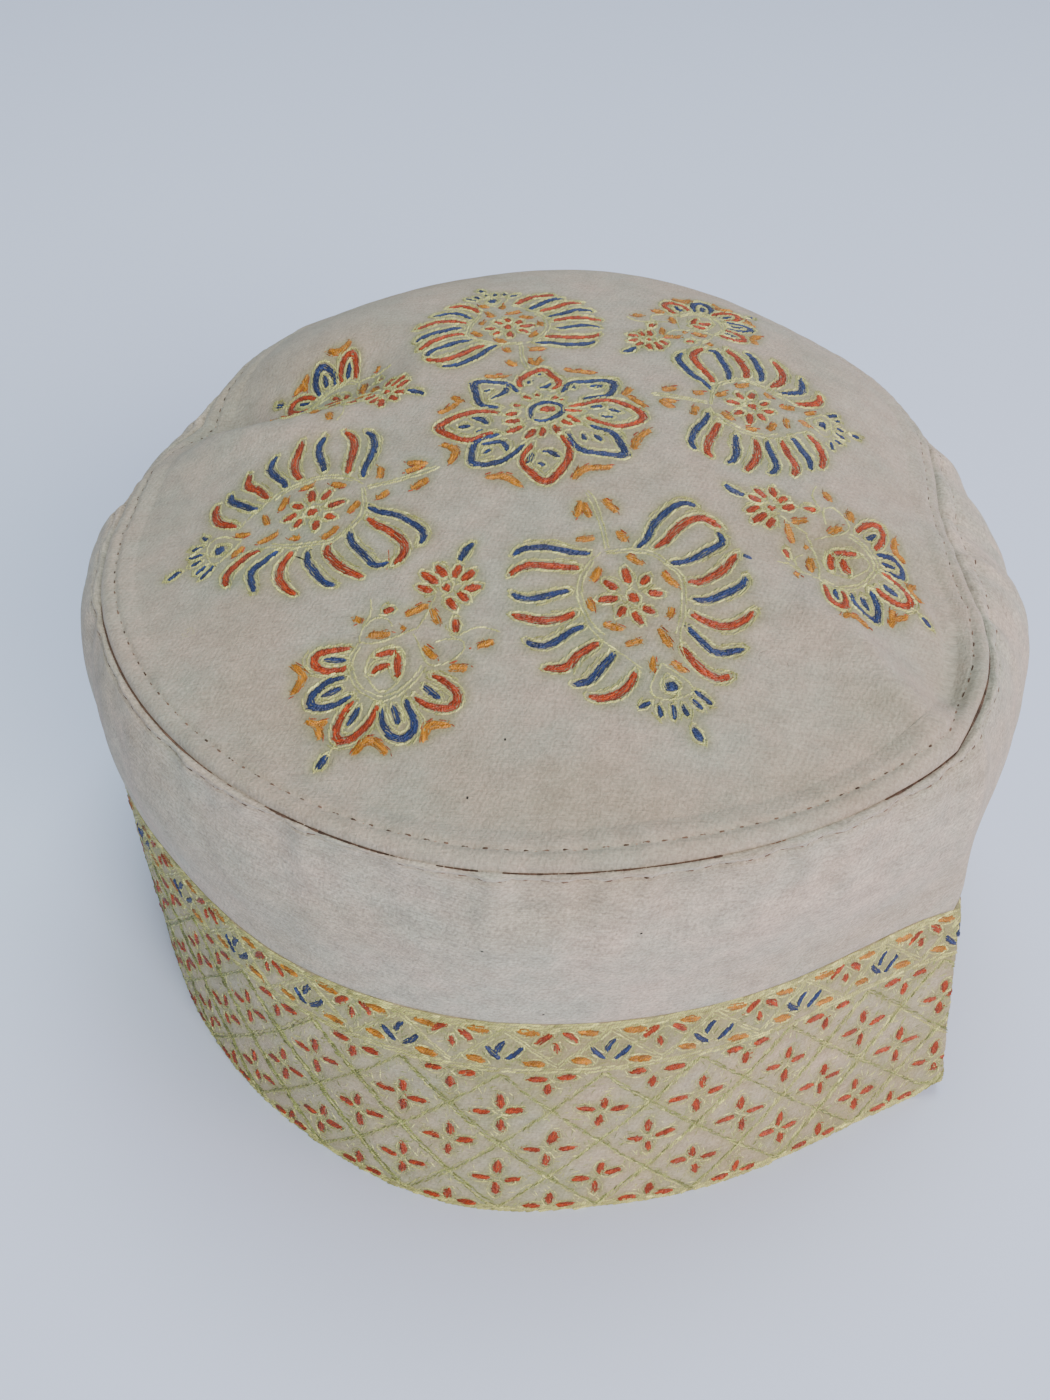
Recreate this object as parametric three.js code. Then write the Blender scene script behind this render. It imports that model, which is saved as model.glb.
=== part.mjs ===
// A soft round cap of woollen twill, sewn from a domed crown, an upright side wall and an embroidered band.
// Millimetres, +Z up, the origin on the surface it rests on and the front toward -Y. Azimuths are degrees
// counted from +X toward +Y.
import * as THREE from 'three';

// Driving sizes of the outline
const BAND_RADIUS = 92;
const BAND_TOP_RADIUS = 92;
const BELLY_RADIUS = 95;
const SEAM_RADIUS = 91;
const BAND_HEIGHT = 49.3;
const WALL_SHOW = 45;
const CROWN_RISE = 21;
const CROWN_LEAN = 8;

// Cloth and clearances
const BAND_CLOTH = 1.8;
const WALL_CLOTH = 1.6;
const CROWN_CLOTH = 1.6;
const LAYER_GAP = 0.3;
const WALL_LIFT = 0.5;

// The puffed lip of the crown along its seam
const LIP_HEIGHT = 0.9;
const LIP_WIDTH = 7;

// How far the flat-fold corners stand out, and the depth that the crown's folds are shares of
const CORNER_REACH = 9;
const FOLD_DEPTH = 4;

// Where the wall is fullest, as a share of what shows of it, and how flat it turns at the seam, in degrees
const BELLY_SHARE = 0.58;
const BELLY_TURN = 72;

// Divisions of the surfaces
const AROUND = 72;
const BAND_RINGS = 4;
const HIDDEN_RINGS = 2;
const BELLY_RINGS = 3;
const CROWN_RINGS = 11;
const SLOPE_STEP = 0.01;

// The plan outline by azimuth: radii as shares of the four radii, seam height as a share of WALL_SHOW,
// and how full the crown stays toward its seam (2 is an even dome, more is flatter with a rounder edge).
const SECTIONS = [
  { azimuth: 0, hem: 0.955, bandTop: 0.967, belly: 0.995, seam: 0.845, rise: 1.04, fullness: 3.2 },
  { azimuth: 20, hem: 0.935, bandTop: 0.95, belly: 0.98, seam: 0.912, rise: 1.12, fullness: 3.8 },
  { azimuth: 45, hem: 0.93, bandTop: 0.945, belly: 0.963, seam: 0.956, rise: 1.18, fullness: 4.5 },
  { azimuth: 70, hem: 0.957, bandTop: 0.962, belly: 0.963, seam: 0.978, rise: 1.23, fullness: 5.5 },
  { azimuth: 95, hem: 0.995, bandTop: 0.99, belly: 0.98, seam: 0.995, rise: 1.24, fullness: 5.5 },
  { azimuth: 120, hem: 1.027, bandTop: 1.016, belly: 0.995, seam: 1.0, rise: 1.18, fullness: 4.5 },
  { azimuth: 140, hem: 1.027, bandTop: 1.027, belly: 1.0, seam: 0.985, rise: 1.15, fullness: 3.8 },
  { azimuth: 160, hem: 1.0, bandTop: 1.016, belly: 1.0, seam: 0.965, rise: 1.03, fullness: 2.6 },
  { azimuth: 180, hem: 0.967, bandTop: 1.011, belly: 1.007, seam: 0.965, rise: 0.99, fullness: 2.0 },
  { azimuth: 200, hem: 0.972, bandTop: 1.009, belly: 1.006, seam: 0.997, rise: 0.949, fullness: 1.8 },
  { azimuth: 220, hem: 0.987, bandTop: 0.985, belly: 1.003, seam: 1.018, rise: 0.9, fullness: 1.7 },
  { azimuth: 240, hem: 1.018, bandTop: 1.004, belly: 1.005, seam: 1.036, rise: 0.867, fullness: 1.6 },
  { azimuth: 260, hem: 1.059, bandTop: 1.011, belly: 1.01, seam: 1.047, rise: 0.847, fullness: 1.6 },
  { azimuth: 280, hem: 1.043, bandTop: 1.002, belly: 1.004, seam: 1.03, rise: 0.847, fullness: 1.7 },
  { azimuth: 300, hem: 1.038, bandTop: 0.996, belly: 1.002, seam: 1.029, rise: 0.867, fullness: 1.9 },
  { azimuth: 315, hem: 1.043, bandTop: 0.994, belly: 1.005, seam: 1.02, rise: 0.895, fullness: 2.1 },
  { azimuth: 330, hem: 1.022, bandTop: 0.989, belly: 1.008, seam: 0.978, rise: 0.956, fullness: 2.5 },
  { azimuth: 345, hem: 0.984, bandTop: 0.978, belly: 1.003, seam: 0.875, rise: 1.016, fullness: 2.9 },
];

// The two corners where the cap was folded flat: the azimuth at the hem, the turn from there to the seam and
// the spread to each side, in degrees, and the reach at each height as a share of CORNER_REACH.
const CORNERS = [
  { azimuth: 320, lean: -5, spread: 7, hem: 1.1, bandTop: 0.85, belly: 0.3, seam: 0.15 },
  { azimuth: 140, lean: 18, spread: 10, hem: 0.5, bandTop: 0.4, belly: 0.1, seam: -0.4 },
];

// Long soft folds on the crown: the azimuth and share of the seam's radius at each end, the depth as a share
// of FOLD_DEPTH (up is positive) and the half width as a share of SEAM_RADIUS.
const FOLDS = [
  { fromAzimuth: 175, fromShare: 0.93, toAzimuth: 168, toShare: 0.5, depth: 0.5, width: 0.07 },
  { fromAzimuth: 160, fromShare: 0.97, toAzimuth: 150, toShare: 0.55, depth: -1.3, width: 0.1 },
  { fromAzimuth: 315, fromShare: 0.98, toAzimuth: 313, toShare: 0.7, depth: 0.4, width: 0.05 },
  { fromAzimuth: 323, fromShare: 0.96, toAzimuth: 326, toShare: 0.6, depth: -0.6, width: 0.07 },
  { fromAzimuth: 346, fromShare: 1.0, toAzimuth: 338, toShare: 0.78, depth: -0.6, width: 0.07 },
];

const DEGREE = Math.PI / 180;
const COLUMNS = ['hem', 'bandTop', 'belly', 'seam', 'rise', 'fullness'];

// Reads one column of the plan table at any azimuth, as a smooth closed curve through its rows
function readSections(column, azimuth) {
  const turn = ((azimuth % 360) + 360) % 360;
  const count = SECTIONS.length;
  let index = count - 1;
  while (SECTIONS[index].azimuth > turn) {
    index -= 1;
  }
  const row = (step) => {
    const place = index + step;
    const wrap = Math.floor(place / count);
    const found = SECTIONS[place - wrap * count];
    return { at: found.azimuth + 360 * wrap, value: found[column] };
  };
  const before = row(-1);
  const low = row(0);
  const high = row(1);
  const after = row(2);
  const span = high.at - low.at;
  const t = (turn - low.at) / span;
  const lowSlope = ((high.value - before.value) / (high.at - before.at)) * span;
  const highSlope = ((after.value - low.value) / (after.at - low.at)) * span;
  const t2 = t * t;
  const t3 = t2 * t;
  const fromEnds = low.value * (2 * t3 - 3 * t2 + 1) + high.value * (3 * t2 - 2 * t3);
  return fromEnds + lowSlope * (t3 - 2 * t2 + t) + highSlope * (t3 - t2);
}

// How far the folded corners stand out at an azimuth, at a height given by its column and its share of lean
function cornerReach(column, azimuth, leanShare) {
  let reach = 0;
  for (const corner of CORNERS) {
    const middle = corner.azimuth + corner.lean * leanShare;
    const apart = Math.abs(((azimuth - middle + 540) % 360) - 180);
    reach += corner[column] * CORNER_REACH * Math.exp(-apart / corner.spread);
  }
  return reach;
}

// The radii and heights of the whole outline at one azimuth
function outlineAt(azimuth) {
  const values = {};
  for (const column of COLUMNS) {
    values[column] = readSections(column, azimuth);
  }
  return {
    hem: values.hem * BAND_RADIUS + cornerReach('hem', azimuth, 0),
    bandTop: values.bandTop * BAND_TOP_RADIUS + cornerReach('bandTop', azimuth, 0),
    belly: values.belly * BELLY_RADIUS + cornerReach('belly', azimuth, 0.5),
    seam: values.seam * SEAM_RADIUS + cornerReach('seam', azimuth, 1),
    seamHeight: BAND_HEIGHT + values.rise * WALL_SHOW,
    fullness: values.fullness,
  };
}

function onPlan(azimuth, radius, height) {
  const angle = azimuth * DEGREE;
  return new THREE.Vector3(radius * Math.cos(angle), radius * Math.sin(angle), height);
}

// The crown's long folds, as one rise or fall at a point of the plan
function foldRise(x, y) {
  let rise = 0;
  for (const fold of FOLDS) {
    const start = onPlan(fold.fromAzimuth, fold.fromShare * SEAM_RADIUS, 0);
    const end = onPlan(fold.toAzimuth, fold.toShare * SEAM_RADIUS, 0);
    const run = new THREE.Vector2(end.x - start.x, end.y - start.y);
    const from = new THREE.Vector2(x - start.x, y - start.y);
    const along = THREE.MathUtils.clamp(from.dot(run) / run.lengthSq(), 0, 1);
    const away = from.sub(run.clone().multiplyScalar(along)).length();
    const width = fold.width * SEAM_RADIUS;
    rise += fold.depth * FOLD_DEPTH * Math.exp(-((away / width) ** 2));
  }
  return rise;
}

// A point of the crown's outer face, where share runs from 0 at the middle to 1 at the seam
function crownPoint(azimuth, share) {
  const outline = outlineAt(azimuth);
  const point = onPlan(azimuth, share * outline.seam, 0);
  const top = BAND_HEIGHT + WALL_SHOW + CROWN_RISE + (CROWN_LEAN * point.y) / SEAM_RADIUS;
  const drop = share ** outline.fullness;
  const toSeam = (1 - share) * outline.seam;
  const lip = LIP_HEIGHT * Math.sin(Math.PI * Math.min(toSeam / LIP_WIDTH, 1));
  const settled = 1 - share ** 12;
  point.z = outline.seamHeight * drop + top * (1 - drop) + lip + foldRise(point.x, point.y) * settled;
  return point;
}

// A point of the wall's outer face, where share runs from 0 at the band's top edge to 1 at the seam
function wallPoint(azimuth, share) {
  const outline = outlineAt(azimuth);
  const foot = outline.bandTop - BAND_CLOTH - LAYER_GAP;
  const top = outline.seamHeight - LAYER_GAP;
  const middle = BAND_HEIGHT + BELLY_SHARE * (top - BAND_HEIGHT);
  if (share < BELLY_SHARE) {
    const part = share / BELLY_SHARE;
    const swell = Math.sin((part * Math.PI) / 2);
    const height = BAND_HEIGHT + (middle - BAND_HEIGHT) * part;
    return onPlan(azimuth, foot + (outline.belly - foot) * swell, height);
  }
  const turn = BELLY_TURN * DEGREE;
  const angle = (turn * (share - BELLY_SHARE)) / (1 - BELLY_SHARE);
  const inward = (1 - Math.cos(angle)) / (1 - Math.cos(turn));
  const radius = outline.belly + (outline.seam - outline.belly) * inward;
  return onPlan(azimuth, radius, middle + ((top - middle) * Math.sin(angle)) / Math.sin(turn));
}

// A point of the band's outer face, where share runs from 0 at the hem to 1 at its top edge
function bandPoint(azimuth, share) {
  const outline = outlineAt(azimuth);
  return onPlan(azimuth, outline.hem + (outline.bandTop - outline.hem) * share, share * BAND_HEIGHT);
}

// A point set in from a surface by the cloth's thickness, square to the surface and toward the hollow
function setIn(surface, azimuth, share, cloth) {
  const point = surface(azimuth, share);
  const low = Math.max(share - SLOPE_STEP, 0);
  const high = Math.min(share + SLOPE_STEP, 1);
  const rising = surface(azimuth, high).sub(surface(azimuth, low));
  const turning = surface(azimuth + 1, share).sub(surface(azimuth - 1, share));
  const square = new THREE.Vector3().crossVectors(turning, rising).normalize();
  const toHollow = new THREE.Vector3(0, 0, BAND_HEIGHT).sub(point);
  return point.addScaledVector(square, Math.sign(square.dot(toHollow)) * cloth);
}

function shiftRadius(point, change) {
  const radius = Math.hypot(point.x, point.y);
  return new THREE.Vector3(
    (point.x * (radius + change)) / radius,
    (point.y * (radius + change)) / radius,
    point.z,
  );
}

// Makes one ring of points from a rule that gives a point for an azimuth
function ringOf(rule) {
  return Array.from({ length: AROUND }, (unused, index) => rule((index * 360) / AROUND));
}

// Joins closed rings into one body: each ring to the next, then either the last to the first, or both ends
// to a point
function bodyOfRings(rings, startPoint, endPoint) {
  const positions = [];
  const faces = [];
  const add = (point) => {
    positions.push(point.x, point.y, point.z);
    return positions.length / 3 - 1;
  };
  const starts = rings.map((ring) => {
    const first = positions.length / 3;
    ring.forEach(add);
    return first;
  });
  const joinCount = startPoint ? rings.length - 1 : rings.length;
  for (let index = 0; index < joinCount; index += 1) {
    const low = starts[index];
    const high = starts[(index + 1) % rings.length];
    for (let side = 0; side < AROUND; side += 1) {
      const next = (side + 1) % AROUND;
      faces.push(low + side, low + next, high + next, low + side, high + next, high + side);
    }
  }
  if (startPoint) {
    const start = add(startPoint);
    const end = add(endPoint);
    const last = starts[rings.length - 1];
    for (let side = 0; side < AROUND; side += 1) {
      const next = (side + 1) % AROUND;
      faces.push(start, starts[0] + next, starts[0] + side);
      faces.push(end, last + side, last + next);
    }
  }
  const geometry = new THREE.BufferGeometry();
  geometry.setAttribute('position', new THREE.Float32BufferAttribute(positions, 3));
  geometry.setIndex(faces);
  geometry.computeVertexNormals();
  return geometry;
}

function sharesUpTo(count) {
  return Array.from({ length: count + 1 }, (unused, index) => index / count);
}

// The band: its outer face from hem to top edge, then its inner face back down
function bandGeometry() {
  const shares = sharesUpTo(BAND_RINGS - 1);
  const outer = shares.map((share) => ringOf((azimuth) => bandPoint(azimuth, share)));
  const inner = outer.map((ring) => ring.map((point) => shiftRadius(point, -BAND_CLOTH))).reverse();
  return bodyOfRings([...outer, ...inner], null, null);
}

// The wall: hidden inside the band, then flaring over it, fullest at the belly and turning in at the seam
function wallGeometry() {
  const clearance = BAND_CLOTH + LAYER_GAP;
  const lowest = WALL_LIFT / BAND_HEIGHT;
  const hiddenShares = sharesUpTo(HIDDEN_RINGS).slice(0, -1);
  const hidden = hiddenShares.map((share) => {
    const height = lowest + (1 - lowest) * share;
    return ringOf((azimuth) => shiftRadius(bandPoint(azimuth, height), -clearance));
  });
  const belowShares = sharesUpTo(BELLY_RINGS).map((share) => share * BELLY_SHARE);
  const rest = 1 - BELLY_SHARE;
  const aboveShares = sharesUpTo(BELLY_RINGS).slice(1).map((share) => BELLY_SHARE + rest * share);
  const shown = [...belowShares, ...aboveShares];
  const outerShown = shown.map((share) => ringOf((azimuth) => wallPoint(azimuth, share)));
  const innerHidden = hidden.map((ring) => ring.map((point) => shiftRadius(point, -WALL_CLOTH)));
  const innerShown = shown.map((share, index) => {
    const atEdge = index === 0 || index === shown.length - 1;
    if (atEdge) {
      return ringOf((azimuth) => shiftRadius(wallPoint(azimuth, share), -WALL_CLOTH));
    }
    return ringOf((azimuth) => setIn(wallPoint, azimuth, share, WALL_CLOTH));
  });
  const inner = [...innerHidden, ...innerShown].reverse();
  return bodyOfRings([...hidden, ...outerShown, ...inner], null, null);
}

// The crown: its inner face from the middle out, a flat edge on the wall's top, then its outer face back in
function crownGeometry() {
  const lipShare = LIP_WIDTH / SEAM_RADIUS;
  const dome = sharesUpTo(CROWN_RINGS).slice(1).map((share) => share * (1 - lipShare));
  const lipShares = [1 - lipShare / 2, 1];
  const shares = [...dome, ...lipShares];
  const inner = shares.map((share) => {
    if (share === 1) {
      return ringOf((azimuth) => shiftRadius(crownPoint(azimuth, 1), -CROWN_CLOTH));
    }
    return ringOf((azimuth) => setIn(crownPoint, azimuth, share, CROWN_CLOTH));
  });
  const outer = shares.map((share) => ringOf((azimuth) => crownPoint(azimuth, share))).reverse();
  const middle = crownPoint(0, 0);
  const under = middle.clone();
  under.z -= CROWN_CLOTH;
  return bodyOfRings([...inner, ...outer], under, middle);
}

function clothPiece(name, geometry, color, roughness) {
  const material = new THREE.MeshStandardMaterial({ color, roughness, metalness: 0 });
  const mesh = new THREE.Mesh(geometry, material);
  mesh.name = name;
  return mesh;
}

const cap = new THREE.Group();
cap.name = 'cap';
cap.add(clothPiece('crown', crownGeometry(), '#c6beb2', 0.92));
cap.add(clothPiece('side_wall', wallGeometry(), '#c2baae', 0.92));
cap.add(clothPiece('band', bandGeometry(), '#bdb8a4', 0.9));

// The origin lies on the surface, under the middle of the whole outline
const centre = new THREE.Box3().setFromObject(cap).getCenter(new THREE.Vector3());
cap.children.forEach((piece) => piece.position.set(-centre.x, -centre.y, 0));

export default cap;
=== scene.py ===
import math

import bpy
import numpy as np
from bpy.props import FloatProperty, FloatVectorProperty, PointerProperty
from bpy.types import Operator, Panel, PropertyGroup
from mathutils import Matrix, Vector


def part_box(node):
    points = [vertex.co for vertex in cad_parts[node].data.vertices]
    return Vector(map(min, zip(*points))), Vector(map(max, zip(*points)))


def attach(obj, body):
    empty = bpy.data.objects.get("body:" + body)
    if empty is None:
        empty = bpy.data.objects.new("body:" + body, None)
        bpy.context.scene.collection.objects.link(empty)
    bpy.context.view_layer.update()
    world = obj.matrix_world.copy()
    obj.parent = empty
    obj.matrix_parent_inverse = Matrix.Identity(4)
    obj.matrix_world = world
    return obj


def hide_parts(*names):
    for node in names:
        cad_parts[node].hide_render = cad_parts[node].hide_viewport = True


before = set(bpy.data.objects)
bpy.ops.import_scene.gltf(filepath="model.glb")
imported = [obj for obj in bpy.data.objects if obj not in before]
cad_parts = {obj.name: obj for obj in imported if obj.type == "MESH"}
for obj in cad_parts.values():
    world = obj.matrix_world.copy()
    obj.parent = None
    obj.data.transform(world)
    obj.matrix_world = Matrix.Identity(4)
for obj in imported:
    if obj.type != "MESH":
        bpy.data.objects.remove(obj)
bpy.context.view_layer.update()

bl_info = {
    "name": "Kashmiri cap",
    "version": (1, 0, 0),
    "blender": (4, 2, 0),
    "location": "View3D > Sidebar > Cap",
    "description": "Cloth, seams and embroidery of a soft round cap",
    "category": "Object",
}

MM = 0.001
MODEL_MM = 1000.0

# Driving sizes of the outline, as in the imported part
BAND_RADIUS = 92.0
BAND_TOP_RADIUS = 92.0
BELLY_RADIUS = 95.0
SEAM_RADIUS = 91.0
BAND_HEIGHT = 49.3
WALL_SHOW = 45.0
CROWN_RISE = 21.0
CROWN_LEAN = 8.0
BAND_CLOTH = 1.8
WALL_CLOTH = 1.6
CROWN_CLOTH = 1.6
LAYER_GAP = 0.3
LIP_HEIGHT = 0.9
LIP_WIDTH = 7.0
CORNER_REACH = 9.0
FOLD_DEPTH = 4.0
BELLY_SHARE = 0.58
BELLY_TURN = 72.0

# The plan outline by azimuth: hem, bandTop, belly and seam as shares of their radii, the seam's height as a
# share of WALL_SHOW, and how full the crown stays toward its seam
SECTION_COLUMNS = ("azimuth", "hem", "bandTop", "belly", "seam", "rise", "fullness")
SECTIONS = (
    (0, 0.955, 0.967, 0.995, 0.845, 1.04, 3.2),
    (20, 0.935, 0.95, 0.98, 0.912, 1.12, 3.8),
    (45, 0.93, 0.945, 0.963, 0.956, 1.18, 4.5),
    (70, 0.957, 0.962, 0.963, 0.978, 1.23, 5.5),
    (95, 0.995, 0.99, 0.98, 0.995, 1.24, 5.5),
    (120, 1.027, 1.016, 0.995, 1.0, 1.18, 4.5),
    (140, 1.027, 1.027, 1.0, 0.985, 1.15, 3.8),
    (160, 1.0, 1.016, 1.0, 0.965, 1.03, 2.6),
    (180, 0.967, 1.011, 1.007, 0.965, 0.99, 2.0),
    (200, 0.972, 1.009, 1.006, 0.997, 0.949, 1.8),
    (220, 0.987, 0.985, 1.003, 1.018, 0.9, 1.7),
    (240, 1.018, 1.004, 1.005, 1.036, 0.867, 1.6),
    (260, 1.059, 1.011, 1.01, 1.047, 0.847, 1.6),
    (280, 1.043, 1.002, 1.004, 1.03, 0.847, 1.7),
    (300, 1.038, 0.996, 1.002, 1.029, 0.867, 1.9),
    (315, 1.043, 0.994, 1.005, 1.02, 0.895, 2.1),
    (330, 1.022, 0.989, 1.008, 0.978, 0.956, 2.5),
    (345, 0.984, 0.978, 1.003, 0.875, 1.016, 2.9),
)

# The two flat-fold corners: azimuth, lean, spread, then the reach at the hem, band top, belly and seam
CORNER_COLUMNS = ("azimuth", "lean", "spread", "hem", "bandTop", "belly", "seam")
CORNERS = (
    (320, -5, 7, 1.1, 0.85, 0.3, 0.15),
    (140, 18, 10, 0.5, 0.4, 0.1, -0.4),
)

# Long soft folds on the crown: azimuth and share of the seam's radius at each end, depth and half width
FOLDS = (
    (175, 0.93, 168, 0.5, 0.5, 0.07),
    (160, 0.97, 150, 0.55, -1.3, 0.1),
    (315, 0.98, 313, 0.7, 0.4, 0.05),
    (323, 0.96, 326, 0.6, -0.6, 0.07),
    (346, 1.0, 338, 0.78, -0.6, 0.07),
)

# Seams and topstitching
CROWN_STITCH_IN = 3.8
WALL_STITCH_DOWN = 2.8
STITCH_PITCH = 3.2
EDGE_ROLL = 1.5
BAND_EDGE_ROLL = 0.45
FOOT_OUT = BAND_CLOTH + LAYER_GAP - 0.35
WALL_BOW = 1.12

# Divisions of the cloth meshes
CROWN_AROUND = 480
WALL_AROUND = 420
BAND_AROUND = 640
CROWN_RINGS = 126
CROWN_EDGE_RINGS = 44
INNER_CROWN_RINGS = 22
WALL_RINGS = 60
WALL_EDGE_RINGS = 26
INNER_WALL_RINGS = 16
BAND_RINGS = 42
INNER_BAND_RINGS = 12
STRIP_LENGTH = 585.0

# Sharp creases on the crown laid flat: their points from the inner end, height and how far their sides reach
CREASES = (
    (((49, -36), (51, -46), (55.5, -59), (60, -64), (65, -71)), 2.8, 7.0),
    (((64, -16), (70, -30), (73, -42), (71, -56)), -3.2, 5.5),
    (((-30, -1), (-45, 3), (-60, 6), (-74, 14)), 1.9, 7.0),
    (((-33, 9), (-46, 12), (-60, 17), (-74, 27)), -2.2, 6.5),
)


# Where the flat-fold corners have worn round at the hem: azimuth and how far the hem rises there
HEM_LIFTS = ((320, 3.2), (140, 1.6))


# Section: the cap's outline


def turns_apart(azimuth, middle):
    """Degrees between azimuths and a middle one, the short way round."""
    return np.abs(np.mod(azimuth - middle + 540.0, 360.0) - 180.0)


def read_sections(column, azimuth):
    """One column of the plan table at any azimuths, as a smooth closed curve through its rows."""
    turn = np.mod(np.asarray(azimuth, float), 360.0)
    at = np.array([row[0] for row in SECTIONS], float)
    value = np.array([row[SECTION_COLUMNS.index(column)] for row in SECTIONS], float)
    count = len(at)
    place = np.searchsorted(at, turn, side="right") - 1

    def row(step):
        wrap = np.floor_divide(place + step, count)
        index = place + step - wrap * count
        return at[index] + 360.0 * wrap, value[index]

    at_before, before = row(-1)
    at_low, low = row(0)
    at_high, high = row(1)
    at_after, after = row(2)
    span = at_high - at_low
    t = (turn - at_low) / span
    low_slope = (high - before) / (at_high - at_before) * span
    high_slope = (after - low) / (at_after - at_low) * span
    ends = low * (2 * t**3 - 3 * t**2 + 1) + high * (3 * t**2 - 2 * t**3)
    return ends + low_slope * (t**3 - 2 * t**2 + t) + high_slope * (t**3 - t**2)


def corner_reach(column, azimuth, lean_share):
    """How far the folded corners stand out at an azimuth, for one height's column and share of lean."""
    reach = 0.0
    for corner in CORNERS:
        row = dict(zip(CORNER_COLUMNS, corner))
        middle = row["azimuth"] + row["lean"] * lean_share
        apart = turns_apart(azimuth, middle)
        reach = reach + row[column] * CORNER_REACH * np.exp(-apart / row["spread"])
    return reach


def outline_at(azimuth):
    """The radii and heights of the whole outline at any azimuths."""
    azimuth = np.asarray(azimuth, float)
    return {
        "hem": read_sections("hem", azimuth) * BAND_RADIUS + corner_reach("hem", azimuth, 0),
        "bandTop": read_sections("bandTop", azimuth) * BAND_TOP_RADIUS + corner_reach("bandTop", azimuth, 0),
        "belly": read_sections("belly", azimuth) * BELLY_RADIUS + corner_reach("belly", azimuth, 0.5),
        "seam": read_sections("seam", azimuth) * SEAM_RADIUS + corner_reach("seam", azimuth, 1),
        "height": BAND_HEIGHT + read_sections("rise", azimuth) * WALL_SHOW,
        "fullness": read_sections("fullness", azimuth),
    }


def on_plan(azimuth, radius, height):
    angle = np.radians(azimuth)
    return np.stack(np.broadcast_arrays(radius * np.cos(angle), radius * np.sin(angle), height), -1)


def fold_rise(x, y):
    """The crown's long folds, as one rise or fall at points of the plan."""
    rise = np.zeros_like(x)
    for from_azimuth, from_share, to_azimuth, to_share, depth, width in FOLDS:
        start = on_plan(from_azimuth, from_share * SEAM_RADIUS, 0.0)[:2]
        end = on_plan(to_azimuth, to_share * SEAM_RADIUS, 0.0)[:2]
        run = end - start
        along = np.clip(((x - start[0]) * run[0] + (y - start[1]) * run[1]) / (run @ run), 0, 1)
        away = np.hypot(x - start[0] - along * run[0], y - start[1] - along * run[1])
        rise = rise + depth * FOLD_DEPTH * np.exp(-((away / (width * SEAM_RADIUS)) ** 2))
    return rise


def crown_base(azimuth, share):
    """The crown's outer face as packed, where share runs from 0 at the middle to 1 at the seam."""
    line = outline_at(azimuth)
    radius = share * line["seam"]
    point = on_plan(azimuth, radius, 0.0)
    top = BAND_HEIGHT + WALL_SHOW + CROWN_RISE + CROWN_LEAN * point[..., 1] / SEAM_RADIUS
    drop = share ** line["fullness"]
    to_seam = (1 - share) * line["seam"]
    lip = LIP_HEIGHT * np.sin(np.pi * np.clip(to_seam / LIP_WIDTH, -0.2, 1))
    settled = 1 - share**12
    folds = fold_rise(point[..., 0], point[..., 1]) * settled
    point[..., 2] = line["height"] * drop + top * (1 - drop) + lip + folds
    return point


def wall_base(azimuth, share):
    """The wall's outer face as packed, from 0 at the band's top edge to 1 at the seam."""
    line = outline_at(azimuth)
    share = np.asarray(share, float)
    foot = line["bandTop"] - BAND_CLOTH - LAYER_GAP
    top = line["height"] - LAYER_GAP
    middle = BAND_HEIGHT + BELLY_SHARE * (top - BAND_HEIGHT)
    part = share / BELLY_SHARE
    low_radius = foot + (line["belly"] - foot) * np.sin(np.clip(part, -1, 1) * np.pi / 2)
    low_height = BAND_HEIGHT + (middle - BAND_HEIGHT) * part
    turn = math.radians(BELLY_TURN)
    angle = turn * (share - BELLY_SHARE) / (1 - BELLY_SHARE)
    inward = (1 - np.cos(angle)) / (1 - math.cos(turn))
    high_radius = line["belly"] + (line["seam"] - line["belly"]) * inward
    high_height = middle + (top - middle) * np.sin(angle) / math.sin(turn)
    low = share < BELLY_SHARE
    return on_plan(azimuth, np.where(low, low_radius, high_radius), np.where(low, low_height, high_height))


def band_base(azimuth, share):
    """The band's outer face as packed, from 0 at the hem to 1 at its top edge."""
    line = outline_at(azimuth)
    return on_plan(azimuth, line["hem"] + (line["bandTop"] - line["hem"]) * share, share * BAND_HEIGHT)


def facing(rule, azimuth, share):
    """Square direction of a surface at points of it, away from the hollow."""
    turning = rule(azimuth + 0.4, share) - rule(azimuth - 0.4, share)
    rising = rule(azimuth, share + 0.004) - rule(azimuth, share - 0.004)
    square = np.cross(turning, rising)
    square = square / np.maximum(np.linalg.norm(square, axis=-1, keepdims=True), 1e-9)
    outward = rule(azimuth, share) - np.array([0.0, 0.0, BAND_HEIGHT])
    return square * np.sign((square * outward).sum(-1, keepdims=True))


# Section: the worn cloth's small unevenness

LEAST_SHARE = 0.004
NOISE_CELLS = 64
NOISE_RADIUS = 90


def soft_noise(x, y, cell, seed):
    """Smooth seeded unevenness between -1 and 1, with lumps about one cell wide."""
    draw = np.random.RandomState(seed)
    grid = draw.uniform(-1, 1, (NOISE_CELLS, NOISE_CELLS))
    u = x / cell
    v = y / cell
    i = np.floor(u).astype(int)
    j = np.floor(v).astype(int)
    fu = u - i
    fv = v - j
    fu = fu * fu * (3 - 2 * fu)
    fv = fv * fv * (3 - 2 * fv)
    i_next = (i + 1) % NOISE_CELLS
    j_next = (j + 1) % NOISE_CELLS
    i = i % NOISE_CELLS
    j = j % NOISE_CELLS
    a = grid[i, j]
    b = grid[i_next, j]
    c = grid[i, j_next]
    d = grid[i_next, j_next]
    return (a * (1 - fu) + b * fu) * (1 - fv) + (c * (1 - fu) + d * fu) * fv


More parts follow.
